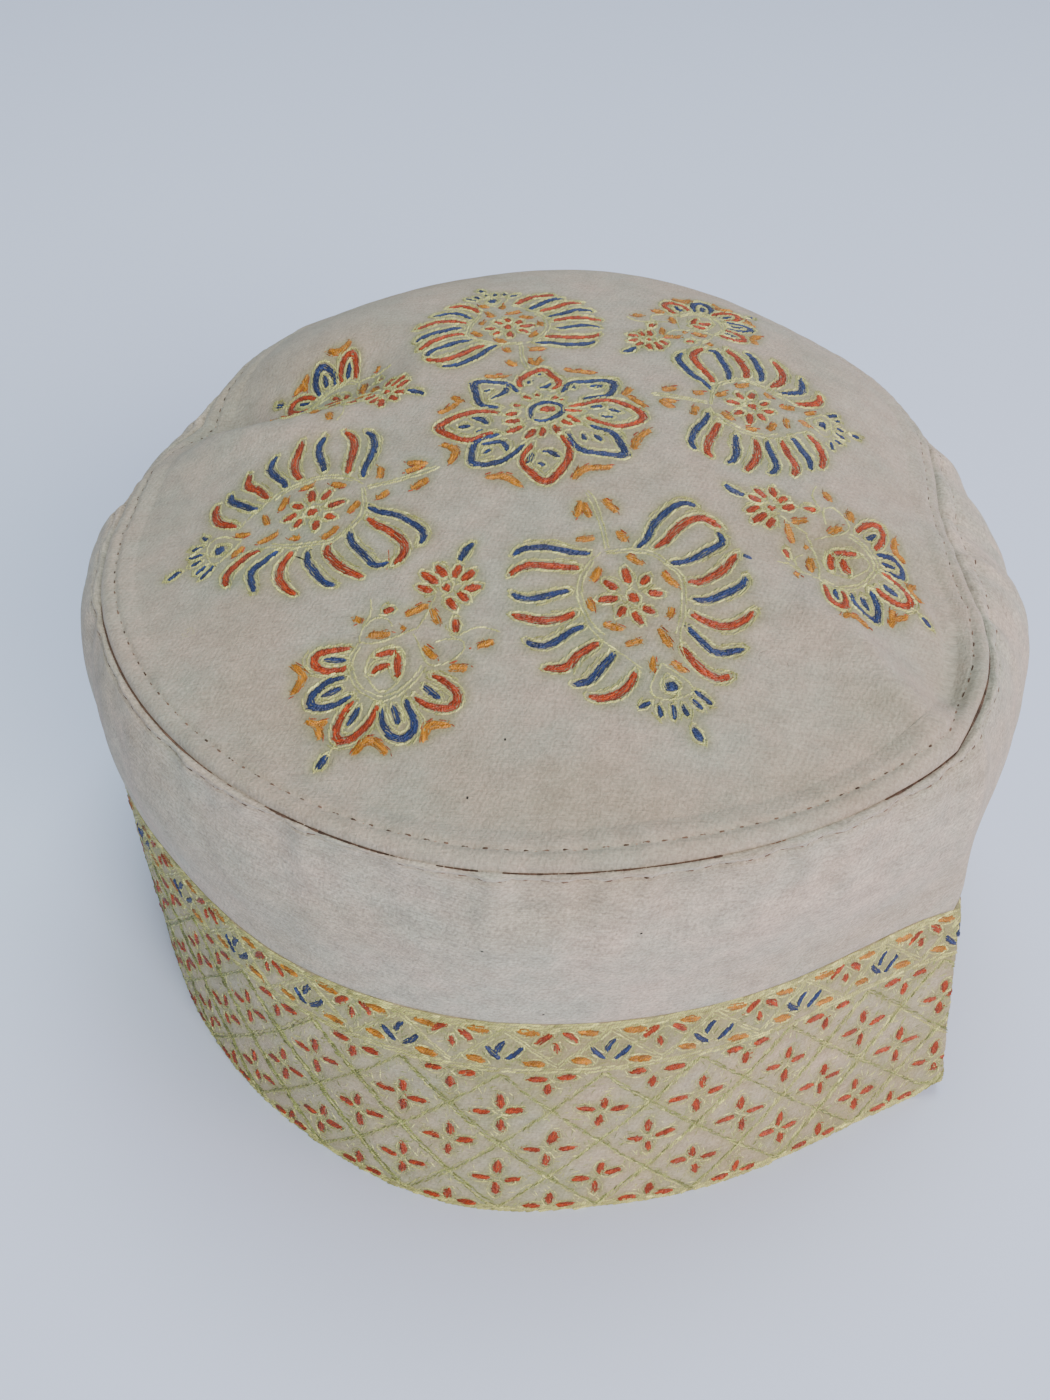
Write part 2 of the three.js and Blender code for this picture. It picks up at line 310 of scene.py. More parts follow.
def round_noise(azimuth, height, cell, seed):
    """The same unevenness on an upright strip that closes on itself, sampled on a cylinder."""
    angle = np.radians(azimuth)
    across = soft_noise(NOISE_RADIUS * np.cos(angle) + 300, height + 200, cell, seed)
    along = soft_noise(NOISE_RADIUS * np.sin(angle) + 300, height + 400, cell, seed + 1)
    return across * np.abs(np.sin(angle)) + along * np.abs(np.cos(angle))


TABLE_AZIMUTHS = np.arange(0, 361, 1.0)
TABLE_COUNT = len(TABLE_AZIMUTHS)
TABLE_SHARES = np.linspace(0, 1, 161)


def arcs_of(line):
    """Length along a line of points, up to each of them."""
    return np.concatenate([[0.0], np.cumsum(np.linalg.norm(np.diff(line, axis=0), axis=1))])


def crown_arcs():
    """Lengths on the crown from its middle, for each azimuth and share of the tables."""
    rings = np.stack([crown_base(TABLE_AZIMUTHS, np.full(TABLE_COUNT, share)) for share in TABLE_SHARES], 1)
    steps = np.linalg.norm(np.diff(rings, axis=1), axis=-1)
    return np.concatenate([np.zeros((TABLE_COUNT, 1)), np.cumsum(steps, axis=1)], 1)


CROWN_ARCS = crown_arcs()
ARC_STEP = 0.25
ARC_COUNT = 480
ARC_PLACES = np.arange(ARC_COUNT) * ARC_STEP
SHARE_OF_ARC = np.stack([np.interp(ARC_PLACES, row, TABLE_SHARES) for row in CROWN_ARCS])


def read_table(table, row, column):
    """A table read between its rows and columns."""
    row = np.mod(row, 360.0)
    column = np.clip(column, 0, table.shape[1] - 1.001)
    i = np.floor(row).astype(int)
    j = np.floor(column).astype(int)
    fi = row - i
    fj = column - j
    low = table[i, j] * (1 - fi) + table[i + 1, j] * fi
    high = table[i, j + 1] * (1 - fi) + table[i + 1, j + 1] * fi
    return low * (1 - fj) + high * fj


def flat_to_crown(x, y):
    """Azimuth and share of a point given on the crown laid flat."""
    azimuth = np.mod(np.degrees(np.arctan2(y, x)), 360.0)
    return azimuth, read_table(SHARE_OF_ARC, azimuth, np.hypot(x, y) / ARC_STEP)


def crown_to_flat(azimuth, share):
    arc = read_table(CROWN_ARCS, azimuth, share * (len(TABLE_SHARES) - 1))
    angle = np.radians(azimuth)
    return arc * np.cos(angle), arc * np.sin(angle)


SEAM_ARCS = arcs_of(crown_base(TABLE_AZIMUTHS, np.full(TABLE_COUNT, 1.0)))
SEAM_LENGTH = SEAM_ARCS[-1]
STITCH_COUNT = round(SEAM_LENGTH / STITCH_PITCH)


def crease_rise(x, y):
    """Sharp ridges along the crown's creases, rising from nothing at their inner ends."""
    rise = np.zeros_like(x)
    for points, height, reach in CREASES:
        best = np.full_like(x, 1e9)
        share = np.zeros_like(x)
        for index, (start, end) in enumerate(zip(points[:-1], points[1:])):
            run = np.subtract(end, start)
            along = np.clip(((x - start[0]) * run[0] + (y - start[1]) * run[1]) / (run @ run), 0, 1)
            away = np.hypot(x - start[0] - along * run[0], y - start[1] - along * run[1])
            share = np.where(away < best, (index + along) / (len(points) - 1), share)
            best = np.minimum(best, away)
        swell = np.clip(share * 1.6, 0, 1)
        rise = rise + height * swell * np.exp(-np.hypot(best, 0.5) / reach)
    return rise


def stitch_wave(azimuth):
    """Runs from -1 between the needle's holes to 1 at each hole of the topstitching."""
    arc = np.interp(np.mod(azimuth, 360.0), TABLE_AZIMUTHS, SEAM_ARCS)
    return np.cos(2 * np.pi * arc / SEAM_LENGTH * STITCH_COUNT)


def seam_puckers(azimuth, away, reach, cell=5.5):
    """Little gathers that run from a line of topstitching into the cloth."""
    angle = np.radians(azimuth)
    gather = soft_noise(np.cos(angle) * 150 + 500, np.sin(angle) * 150 + 500, cell, 31)
    return gather * np.exp(-np.abs(away) / reach)


def crown_unevenness(azimuth, share):
    """How far the crown's cloth stands off its packed face, in millimetres."""
    x, y = crown_to_flat(azimuth, share)
    whole = read_table(CROWN_ARCS, azimuth, np.full_like(share, len(TABLE_SHARES) - 1.0))
    to_seam = whole - np.hypot(x, y)
    rise = 0.5 * soft_noise(x + 700, y + 700, 31, 3) + 0.2 * soft_noise(x + 700, y + 700, 11, 4)
    rise = rise + 0.05 * soft_noise(x + 700, y + 700, 3.6, 5)
    off = to_seam - CROWN_STITCH_IN
    groove = -(0.34 + 0.1 * stitch_wave(azimuth)) * np.exp(-((off / 0.62) ** 2))
    puff = 0.42 * np.sin(np.pi * np.clip(to_seam / CROWN_STITCH_IN, 0, 1))
    rise = rise * np.clip(to_seam / 6.0, 0.35, 1) + groove + puff
    rise = rise + 0.09 * stitch_wave(azimuth) * -np.exp(-((off / 1.8) ** 2))
    rise = rise + 0.26 * seam_puckers(azimuth, off, 5.0)
    rise = rise + crease_rise(x, y) * np.clip(to_seam / 5.0, 0.3, 1) + crown_press(x, y)
    inner = np.clip(EDGE_ROLL - to_seam, 0, EDGE_ROLL)
    return rise - (EDGE_ROLL - np.sqrt(np.maximum(EDGE_ROLL**2 - inner**2, 0)))


def wall_unevenness(azimuth, share):
    """How far the wall's cloth stands off its packed face, in millimetres."""
    line = outline_at(azimuth)
    down = (1 - share) * (line["height"] - BAND_HEIGHT) * WALL_BOW
    height = share * WALL_SHOW
    rise = 0.6 * round_noise(azimuth, height * 0.6, 27, 13) + 0.26 * round_noise(azimuth, height, 10, 15)
    rise = rise + 0.05 * round_noise(azimuth, height, 3.4, 17)
    off = down - WALL_STITCH_DOWN
    groove = -(0.26 + 0.08 * stitch_wave(azimuth)) * np.exp(-((off / 0.6) ** 2))
    puff = 0.3 * np.sin(np.pi * np.clip(down / WALL_STITCH_DOWN, 0, 1))
    edge = np.clip(1 - down / 1.1, 0, 1)
    foot = np.clip(1 - share * 9, 0, 1)
    rise = rise * np.clip(down / 5.0, 0.3, 1) * (1 - foot) + groove + puff
    near_line = 0.07 * stitch_wave(azimuth) * np.exp(-((off / 1.8) ** 2))
    rise = rise + 0.75 * seam_puckers(azimuth, off, 9.0) - near_line
    broad = seam_puckers(azimuth, off - 6.0, 14.0, 12.0) * np.clip(down / 4.0, 0, 1)
    rise = rise + broad * (1 - foot)
    over_band = FOOT_OUT * np.exp(-((height / 9.0) ** 2))
    return rise - 1.1 * edge * edge + over_band


def band_unevenness(azimuth, share):
    """How far the band's cloth stands off its packed face, in millimetres."""
    height = share * BAND_HEIGHT
    rise = 0.3 * round_noise(azimuth, height * 0.7, 22, 23) + 0.1 * round_noise(azimuth, height, 7, 25)
    rise = rise + 0.04 * round_noise(azimuth, height, 2.6, 27)
    along = np.interp(np.mod(azimuth, 360.0), TABLE_AZIMUTHS, BAND_ARCS)
    from_edge = np.minimum(height, BAND_HEIGHT - height)
    inner = np.clip(BAND_EDGE_ROLL - from_edge, 0, BAND_EDGE_ROLL)
    roll = BAND_EDGE_ROLL - np.sqrt(np.maximum(BAND_EDGE_ROLL**2 - inner**2, 0))
    return rise + band_press(along, height) - roll


def laid(base, unevenness, azimuth, share):
    """Points of a cloth's outer face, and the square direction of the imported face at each."""
    square = facing(base, azimuth, share)
    return base(azimuth, share) + square * unevenness(azimuth, share)[..., None], square


def crown_at(azimuth, share):
    return laid(crown_base, crown_unevenness, azimuth, np.maximum(share, LEAST_SHARE))[0]


def wall_at(azimuth, share):
    return laid(wall_base, wall_unevenness, azimuth, share)[0]


def corner_lift(azimuth, share):
    """How far the hem rises where the flat-fold corners have worn round, in millimetres."""
    lift = 0.0
    for corner, height in HEM_LIFTS:
        lift = lift + height * np.exp(-((turns_apart(azimuth, corner) / 2.0) ** 2))
    return lift * np.clip(1 - share, 0, 1) ** 5


def band_at(azimuth, share):
    point = laid(band_base, band_unevenness, azimuth, share)[0]
    point[..., 2] += corner_lift(azimuth, share)
    return point


def plan_shift():
    """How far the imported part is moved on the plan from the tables' own middle."""
    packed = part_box("band")[0]
    turns = np.arange(0, 360, 5.0)
    rings = np.concatenate([band_base(turns, np.full(len(turns), share)) for share in (0.0, 1.0)])
    low = rings.min(0)
    return np.array([packed.x * MODEL_MM - low[0], packed.y * MODEL_MM - low[1], 0.0])


SHIFT = plan_shift()


# Section: making meshes


def new_object(name, points, quads, coords=None, tris=None, shades=None):
    """One mesh object from points in millimetres, with its faces, flat coordinates and a shade a point."""
    mesh = bpy.data.meshes.new(name)
    points = (np.asarray(points, float) + SHIFT) * MM
    faces = [np.asarray(quads, int).reshape(-1, 4)]
    tris = np.asarray(tris if tris is not None else [], int).reshape(-1, 3)
    loops = np.concatenate([faces[0].ravel(), tris.ravel()])
    totals = np.concatenate([np.full(len(faces[0]), 4), np.full(len(tris), 3)])
    mesh.vertices.add(len(points))
    mesh.vertices.foreach_set("co", points.astype(np.float32).ravel())
    mesh.loops.add(len(loops))
    mesh.loops.foreach_set("vertex_index", loops.astype(np.int32))
    mesh.polygons.add(len(totals))
    mesh.polygons.foreach_set("loop_start", np.concatenate([[0], np.cumsum(totals)[:-1]]).astype(np.int32))
    mesh.polygons.foreach_set("loop_total", totals.astype(np.int32))
    mesh.update(calc_edges=True)
    mesh.polygons.foreach_set("use_smooth", np.ones(len(totals), bool))
    if coords is not None:
        layer = mesh.uv_layers.new(name="cloth")
        layer.data.foreach_set("uv", np.asarray(coords, np.float32)[loops].ravel())
    if shades is not None:
        layer = mesh.attributes.new("shade", "FLOAT", "POINT")
        layer.data.foreach_set("value", np.asarray(shades, np.float32))
    made = bpy.data.objects.new(name, mesh)
    bpy.context.scene.collection.objects.link(made)
    return made


def ring_quads(ring_count, around):
    """Faces between successive closed rings of points."""
    faces = []
    side = np.arange(around)
    after = (side + 1) % around
    for index in range(ring_count - 1):
        low = index * around
        high = low + around
        faces.append(np.stack([low + side, low + after, high + after, high + side], 1))
    return np.concatenate(faces)


def finish_piece(piece, material, node=None):
    piece.data.materials.append(material)
    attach(piece, "root")
    if node:
        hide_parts(node)


def moved_in(point, distance):
    """Points moved toward the cap's axis on the plan."""
    radius = np.hypot(point[..., 0], point[..., 1])
    out = point.copy()
    out[..., 0] *= (radius - distance) / radius
    out[..., 1] *= (radius - distance) / radius
    return out


def build_crown(material):
    around = CROWN_AROUND
    turns = np.arange(around) * 360.0 / around
    inner_part = np.linspace(0.02, 0.9, CROWN_RINGS - CROWN_EDGE_RINGS)
    outer_part = 0.9 + 0.1 * np.linspace(0, 1, CROWN_EDGE_RINGS + 1)[1:]
    shares = np.concatenate([inner_part, outer_part])
    rings = []
    coords = []
    for share in shares:
        full = np.full(around, share)
        rings.append(crown_at(turns, full))
        coords.append(np.stack(crown_to_flat(turns, full), 1))
    rim = rings[-1]
    for inward, down in ((0.5, 0.6), (1.2, 0.7), (CROWN_CLOTH, 0.1)):
        ring = moved_in(rim, inward)
        ring[:, 2] -= down
        rings.append(ring)
        coords.append(coords[-1] * 1.003)
    whole = read_table(CROWN_ARCS, turns, np.full(around, len(TABLE_SHARES) - 1.0))
    for share in np.linspace(0.97, 0.02, INNER_CROWN_RINGS):
        full = np.full(around, share)
        x, y = crown_to_flat(turns, full)
        lift = crease_rise(x, y) * np.clip((whole - np.hypot(x, y)) / 5.0, 0.3, 1) - CROWN_CLOTH
        rings.append(crown_base(turns, full) + facing(crown_base, turns, full) * lift[:, None])
        coords.append(np.stack((x, y), 1))
    points = np.concatenate(rings)
    coords = np.concatenate(coords)
    quads = ring_quads(len(rings), around)
    start = len(points)
    middle = crown_at(np.array([0.0]), np.array([LEAST_SHARE]))
    middle[0, :2] = 0
    under = middle - np.array([[0, 0, CROWN_CLOTH]])
    points = np.concatenate([points, middle, under])
    coords = np.concatenate([coords, [[0, 0], [0, 0]]])
    side = np.arange(around)
    after = (side + 1) % around
    last = (len(rings) - 1) * around
    top_fan = np.stack([np.full(around, start), side, after], 1)
    under_fan = np.stack([np.full(around, start + 1), last + after, last + side], 1)
    tris = np.concatenate([top_fan, under_fan])
    # The ground's green tint and painted shade near the stitches, left off the inner face.
    shades = crown_tint_and_shade(coords[:, 0], coords[:, 1])
    shades[len(shares) * around : start] = 0.0
    shades[start + 1] = 0.0
    piece = new_object("crown_cloth", points, quads[:, ::-1], coords, tris, shades)
    finish_piece(piece, material, "crown")


def strip_coords(azimuth, height):
    return np.stack([np.asarray(azimuth) / 360.0 * STRIP_LENGTH, height], 1)


def strip_piece(name, rings, heights, turns, material, node, shades=None):
    """A closed strip from rings of points whose first and last turn are the same place."""
    count = len(turns)
    points = np.concatenate(rings)
    coords = np.concatenate([strip_coords(turns, np.full(count, height)) for height in heights])
    total = len(rings)
    faces = []
    side = np.arange(count - 1)
    for index in range(total):
        low = index * count
        high = ((index + 1) % total) * count
        faces.append(np.stack([low + side, low + side + 1, high + side + 1, high + side], 1))
    piece = new_object(name, points, np.concatenate(faces), coords, None, shades)
    finish_piece(piece, material, node)


def build_wall(material):
    turns = np.linspace(0, 360, WALL_AROUND + 1)
    full = np.ones(WALL_AROUND + 1)
    rings = []
    heights = []
    for share in (0.02, 0.45, 0.93):
        ring = moved_in(band_base(turns, full * share), BAND_CLOTH + LAYER_GAP)
        rings.append(ring)
        heights.append(share * BAND_HEIGHT - BAND_HEIGHT)
    rings.append(moved_in(band_base(turns, full), BAND_CLOTH + LAYER_GAP))
    heights.append(0.0)
    low_part = np.linspace(0, 0.86, WALL_RINGS - WALL_EDGE_RINGS)
    high_part = 0.86 + 0.14 * np.linspace(0, 1, WALL_EDGE_RINGS + 1)[1:]
    for share in np.concatenate([low_part, high_part]):
        ring = wall_at(turns, full * share)
        ring[:, 2] += 0.1 * max(0.0, 1 - share * 20)
        rings.append(ring)
        heights.append(share * WALL_SHOW * 1.1)
    rings.append(moved_in(wall_base(turns, full), WALL_CLOTH + 1.0))
    heights.append(WALL_SHOW * 1.1 + 1.5)
    for share in np.linspace(0.93, 0, INNER_WALL_RINGS):
        rings.append(wall_base(turns, full * share) - facing(wall_base, turns, full * share) * WALL_CLOTH)
        heights.append(share * WALL_SHOW * 1.1)
    for share in (0.93, 0.45, 0.02):
        rings.append(moved_in(band_base(turns, full * share), BAND_CLOTH + LAYER_GAP + WALL_CLOTH))
        heights.append(share * BAND_HEIGHT - BAND_HEIGHT)
    strip_piece("wall_cloth", rings, heights, turns, material, "side_wall")


def build_band(material):
    turns = np.linspace(0, 360, BAND_AROUND + 1)
    full = np.ones(BAND_AROUND + 1)
    rings = []
    heights = []
    for share in 0.5 - 0.5 * np.cos(np.linspace(0, np.pi, BAND_RINGS)):
        rings.append(band_at(turns, full * share))
        heights.append(share * BAND_HEIGHT)
    for share in np.linspace(1, 0, INNER_BAND_RINGS):
        inner = moved_in(band_base(turns, full * share), BAND_CLOTH)
        inner[:, 2] += corner_lift(turns, share)
        edge = 0.35 if share in (0.0, 1.0) else 0.0
        rings.append(moved_in(inner, -edge))
        heights.append(share * BAND_HEIGHT)
    along = np.interp(turns, TABLE_AZIMUTHS, BAND_ARCS)
    # The ground's green tint and painted shade near the stitches.
    shades = np.concatenate([band_tint_and_shade(along, full * height) for height in heights])
    strip_piece("band_cloth", rings, heights, turns, material, "band", shades)


# Section: laying thread on the cloth


def smooth_path(points, step):
    """A smooth line through charted points, at even steps of about the given length."""
    given = np.asarray(points, float)
    if len(given) > 2:
        ends = np.concatenate([[2 * given[0] - given[1]], given, [2 * given[-1] - given[-2]]])
        t = np.linspace(0, 1, 9)[:-1, None]
        parts = []
        for a, b, c, d in zip(ends[:-3], ends[1:-2], ends[2:-1], ends[3:]):
            bend = (2 * a - 5 * b + 4 * c - d) * t**2
            twist = (3 * b - a - 3 * c + d) * t**3
            parts.append(0.5 * (2 * b + (c - a) * t + bend + twist))
        given = np.concatenate([*parts, given[-1:]])
    lengths = arcs_of(given)
    count = max(2, round(lengths[-1] / step) + 1)
    at = np.linspace(0, lengths[-1], count)
    return np.stack([np.interp(at, lengths, given[:, 0]), np.interp(at, lengths, given[:, 1])], 1)


def sides_of(path):
    """Unit directions to the left of a path at each of its points."""
    run = np.gradient(path, axis=0)
    run = run / np.maximum(np.linalg.norm(run, axis=1, keepdims=True), 1e-9)
    return np.stack([-run[:, 1], run[:, 0]], 1)


FILL_STEP = 0.25
FUZZ_PER_MM = 1.2


class Thread:
    """Stitches of one colour, each a start and an end on the cloth, a width, a height and a shade."""

    def __init__(self, seed):
        self.rows = []
        self.fibres = []
        self.draw = np.random.RandomState(seed)

    def stitch(self, start, end, width, height, shade=1.0):
        self.rows.append((*start, *end, width, height, shade))

    def line(self, path, width, pitch=1.25, length=1.75, height=0.34, slant=0.12, rough=0.09, shade=1.0):
        """Stem stitches one after another along a path."""
        run = smooth_path(path, 0.3)
        lengths = arcs_of(run)
        side = sides_of(run)
        draw = self.draw
        at = 0.0
        while at < lengths[-1] - 0.25 * pitch:
            ends = np.clip([at, at + length * draw.uniform(0.8, 1.15)], 0, lengths[-1])
            middle = np.stack([np.interp(ends, lengths, run[:, k]) for k in (0, 1)], 1)
            across = np.stack([np.interp(ends, lengths, side[:, k]) for k in (0, 1)], 1)
            push = np.array([-slant, slant]) + draw.uniform(-rough, rough, 2)
            start, end = middle + across * push[:, None]
            thick = width * draw.uniform(0.78, 1.15)
            # Painted glint: about one stitch in eight is lighter, standing for a highlight on the thread.
            glint = 1.35 if draw.uniform() < 0.12 else 1.0
            rise = height * draw.uniform(0.7, 1.25)
            self.stitch(start, end, thick, rise, shade * glint * draw.uniform(0.6, 1.25))
            at += pitch * draw.uniform(0.85, 1.15)

    def fill(self, path, width, thread=0.44, height=0.5, blunt=0.35, pointed=False):
        """Rows of short stitches side by side, wide at the middle of the path and narrower at its ends, the
        outer rows darker as painted shade.
        """
        run = smooth_path(path, FILL_STEP)
        side = sides_of(run)
        part = np.linspace(0, 1, len(run))
        full = np.sin(np.pi * np.clip(part * 0.92 + 0.04, 0, 1)) ** (1.0 if pointed else 0.6)
        swell = blunt + (1 - blunt) * full
        rows = max(2, round(width / 0.36))
        for row in range(rows):
            share = (row - (rows - 1) / 2) / ((rows - 1) / 2)
            lane = run + side * (share * (width - 0.3) / 2 * swell)[:, None]
            most = 0.16 if pointed else 0.05
            cut = len(run) * abs(share) * most
            trim = [round(cut * self.draw.uniform(0.4, 1.3)) for unused_end in (0, 1)]
            lane = lane[trim[0] : len(lane) - trim[1]]
            if len(lane) < 3:
                continue
            rise = height * (1.0 - 0.35 * share**2)
            # Painted shade: the rows at a stroke's edges are darker, as where the raised stroke turns away
            # from the light.
            tone = 1.1 - 0.42 * share**2
            self.line(lane, thread, pitch=1.15, length=1.9, height=rise, slant=0.07, rough=0.13, shade=tone)
        self.fuzz(run, side, width * swell / 2)

    def fuzz(self, run, side, half):
        """Loose fibres that stand out of a stroke's edges."""
        draw = self.draw
        for unused_fibre in range(int(len(run) * FILL_STEP * FUZZ_PER_MM)):
            index = draw.randint(len(run))
            hand = draw.choice((-1.0, 1.0))
            start = run[index] + side[index] * hand * (half[index] - 0.15)
            heading = math.atan2(side[index][1], side[index][0]) + draw.uniform(-1.2, 1.2)
            reach = draw.uniform(0.3, 0.62) * hand
            end = start + np.array([math.cos(heading), math.sin(heading)]) * reach
            self.fibres.append((*start, *end, 0.11, 0.16, draw.uniform(0.7, 1.15)))


def outline_path(path, gap):
    """A closed path round a stroke, at a gap from its middle line."""
    run = smooth_path(path, 0.6)
    side = sides_of(run)
    ahead = (run[-1] - run[-2]) / np.linalg.norm(run[-1] - run[-2])
    behind = (run[0] - run[1]) / np.linalg.norm(run[0] - run[1])
    part = np.linspace(0, 1, len(run))
    swell = (0.62 + 0.38 * np.sin(np.pi * part) ** 0.7)[:, None] * gap
    left = run + side * swell
    right = (run - side * swell)[::-1]
    tip = run[-1] + ahead * gap * 0.75
    tail = run[0] + behind * gap * 0.75
    return np.concatenate([left, [tip], right, [tail], left[:1]])


STITCH_TURNS = (-90.0, 0.0, 90.0)
STITCH_STATIONS = ((0.0, 0.4, 0.2), (0.2, 1.0, 1.0), (0.78, 1.0, 0.95), (1.0, 0.4, 0.2))
FINE_STATIONS = ((0.0, 0.5, 0.3), (0.5, 1.0, 1.0), (1.0, 0.5, 0.3))
FIBRE_STATIONS = ((0.0, 1.0, 0.8), (1.0, 0.3, 1.0))


def stitch_parts(surface, rows, stations, sink):
    """Points, faces, coordinates and shades of stitches laid on a surface, each a small rounded ridge."""
    rows = np.asarray(rows, float)
    start = rows[:, 0:2]
    end = rows[:, 2:4]
    width = rows[:, 4]
    height = rows[:, 5]
    unused_middle, square = surface((start[:, 0] + end[:, 0]) / 2, (start[:, 1] + end[:, 1]) / 2)
    count = len(rows)
    centres = []
    for station, unused_wide, unused_high in stations:
        place = start + (end - start) * station
        centres.append(surface(place[:, 0], place[:, 1])[0])
    along = centres[-1] - centres[0]
    span = np.linalg.norm(along, axis=1)
    side = np.cross(square, along)
    side = side / np.maximum(np.linalg.norm(side, axis=1, keepdims=True), 1e-9)
    turns = np.radians(STITCH_TURNS)
    points = np.zeros((count, len(stations), len(turns), 3))
    coords = np.zeros((count, len(stations), len(turns), 2))
    for i, (station, wide, high) in enumerate(stations):
        for j, angle in enumerate(turns):
            across = (math.sin(angle) * wide * width / 2)[:, None]
            up = (math.cos(angle) * high * height - sink)[:, None]
            points[:, i, j] = centres[i] + side * across + square * up
            coords[:, i, j, 0] = span * station + rows[:, 0] * 3.7
            coords[:, i, j, 1] = angle * width / 2
    per = len(stations) * len(turns)
    base = []
    for i in range(len(stations) - 1):
        for j in range(len(turns) - 1):
            a = i * len(turns) + j
            base.append((a, a + len(turns), a + len(turns) + 1, a + 1))
    quads = (np.arange(count)[:, None, None] * per + np.array(base)[None]).reshape(-1, 4)
    return points.reshape(-1, 3), quads, coords.reshape(-1, 2), np.repeat(rows[:, 6], per)


def thread_object(name, surface, thread, material, stations=STITCH_STATIONS, sink=0.08):
    """One joined mesh of all the stitches and loose fibres of a thread."""
    points, quads, coords, shades = stitch_parts(surface, thread.rows, stations, sink)
    if thread.fibres:
        more = stitch_parts(surface, thread.fibres, FIBRE_STATIONS, -0.05)
        quads = np.concatenate([quads, more[1] + len(points)])
        points = np.concatenate([points, more[0]])
        coords = np.concatenate([coords, more[2]])
        shades = np.concatenate([shades, more[3]])
    piece = new_object(name, points, quads, coords, None, shades)
    finish_piece(piece, material)


# Section: how the stitches press the cloth

PRESS_CELL = 0.4
CROWN_PRESS_LOW = (-84.0, -84.0)
BAND_PRESS_LOW = (-8.0, -4.0)


def press_grid(threads, low, high, length=None):
    """How thickly stitches cover each cell of a grid over the cloth laid flat."""
    rows = np.concatenate([np.asarray(thread.rows, float) for thread in threads.values()])
    if length:
        turns_before = np.floor(rows[:, 0] / length) * length
        rows[:, 0] -= turns_before
        rows[:, 2] -= turns_before
    counts = [int((end - start) / PRESS_CELL) for start, end in zip(low, high)]
    grid = np.zeros(counts)
    area = rows[:, 4] * np.hypot(rows[:, 2] - rows[:, 0], rows[:, 3] - rows[:, 1]) / PRESS_CELL**2
    for part in (0.17, 0.5, 0.83):
        place = rows[:, 0:2] + (rows[:, 2:4] - rows[:, 0:2]) * part
        i = np.clip(((place[:, 0] - low[0]) / PRESS_CELL).astype(int), 0, counts[0] - 1)
        j = np.clip(((place[:, 1] - low[1]) / PRESS_CELL).astype(int), 0, counts[1] - 1)
        np.add.at(grid, (i, j), area / 3)
    return grid


def softened(grid, reach):
    """The grid evened out over a reach in millimetres."""
    steps = np.arange(-int(reach * 3 / PRESS_CELL), int(reach * 3 / PRESS_CELL) + 1) * PRESS_CELL
    weights = np.exp(-((steps / reach) ** 2) / 2)
    weights = weights / weights.sum()
    for axis in (0, 1):
        grid = np.apply_along_axis(np.convolve, axis, grid, weights, mode="same")
    return grid


def read_grid(grid, low, x, y):
    """A grid read between its cells."""
    u = np.clip((x - low[0]) / PRESS_CELL - 0.5, 0, grid.shape[0] - 1.001)
    v = np.clip((y - low[1]) / PRESS_CELL - 0.5, 0, grid.shape[1] - 1.001)
    i = np.floor(u).astype(int)
    j = np.floor(v).astype(int)
    fu = u - i
    fv = v - j
    near = grid[i, j] * (1 - fu) + grid[i + 1, j] * fu
    far = grid[i, j + 1] * (1 - fu) + grid[i + 1, j + 1] * fu
    return near * (1 - fv) + far * fv


def press_of(near, wide, low, x, y):
    """Cloth sinks under its stitches and puffs up between them."""
    sunk = np.minimum(read_grid(near, low, x, y), 1.2)
    around = np.minimum(read_grid(wide, low, x, y), 1.0)
    return 0.3 * around - 0.32 * sunk


def crown_press(x, y):
    return press_of(CROWN_NEAR, CROWN_WIDE, CROWN_PRESS_LOW, x, y)


# The ground near the crown's stitches: partly green from fine thread, partly darkened as painted shade round
# the stitches.
def crown_tint_and_shade(x, y):
    return np.clip(read_grid(CROWN_SHADE, CROWN_PRESS_LOW, x, y) * 1.7, 0, 1)


def band_press(along, height):
    return press_of(BAND_NEAR, BAND_WIDE, BAND_PRESS_LOW, along, height)


# The ground near the band's stitches: partly green from fine thread, partly darkened as painted shade round
# the stitches.
def band_tint_and_shade(along, height):
    return np.clip(read_grid(BAND_SHADE, BAND_PRESS_LOW, along, height) * 1.2, 0, 1)


def crown_surface(x, y):
    """Points and square directions of the crown, for places on the crown laid flat."""
    azimuth, share = flat_to_crown(x, y)
    return laid(crown_base, crown_unevenness, azimuth, np.clip(share, LEAST_SHARE, 1))


BAND_ARCS = arcs_of(band_base(TABLE_AZIMUTHS, np.full(TABLE_COUNT, 0.5)))
BAND_LENGTH = BAND_ARCS[-1]


def band_surface(along, height):
    """Points and square directions of the band, for a length along it and a height above its hem."""
    azimuth = np.interp(np.mod(along, BAND_LENGTH), BAND_ARCS, TABLE_AZIMUTHS)
    share = np.clip(height / BAND_HEIGHT, LEAST_SHARE, 1 - LEAST_SHARE)
    return band_at(azimuth, share), facing(band_base, azimuth, share)


def seam_place(along):
    return np.interp(np.mod(along, SEAM_LENGTH), SEAM_ARCS, TABLE_AZIMUTHS)


def crown_edge_surface(along, inward):
    """The crown beside its seam, for a length along the seam and a distance in from it."""
    azimuth = seam_place(along)
    whole = read_table(CROWN_ARCS, azimuth, np.full_like(azimuth, len(TABLE_SHARES) - 1.0))
    share = read_table(SHARE_OF_ARC, azimuth, (whole - inward) / ARC_STEP)
    return laid(crown_base, crown_unevenness, azimuth, share)


def wall_edge_surface(along, down):
    """The wall below the seam, for a length along the seam and a distance down from it."""
    azimuth = seam_place(along)
    line = outline_at(azimuth)
    share = 1 - down / ((line["height"] - BAND_HEIGHT) * WALL_BOW)
    return laid(wall_base, wall_unevenness, azimuth, share)


# Section: the crown's pattern, charted on the crown laid flat

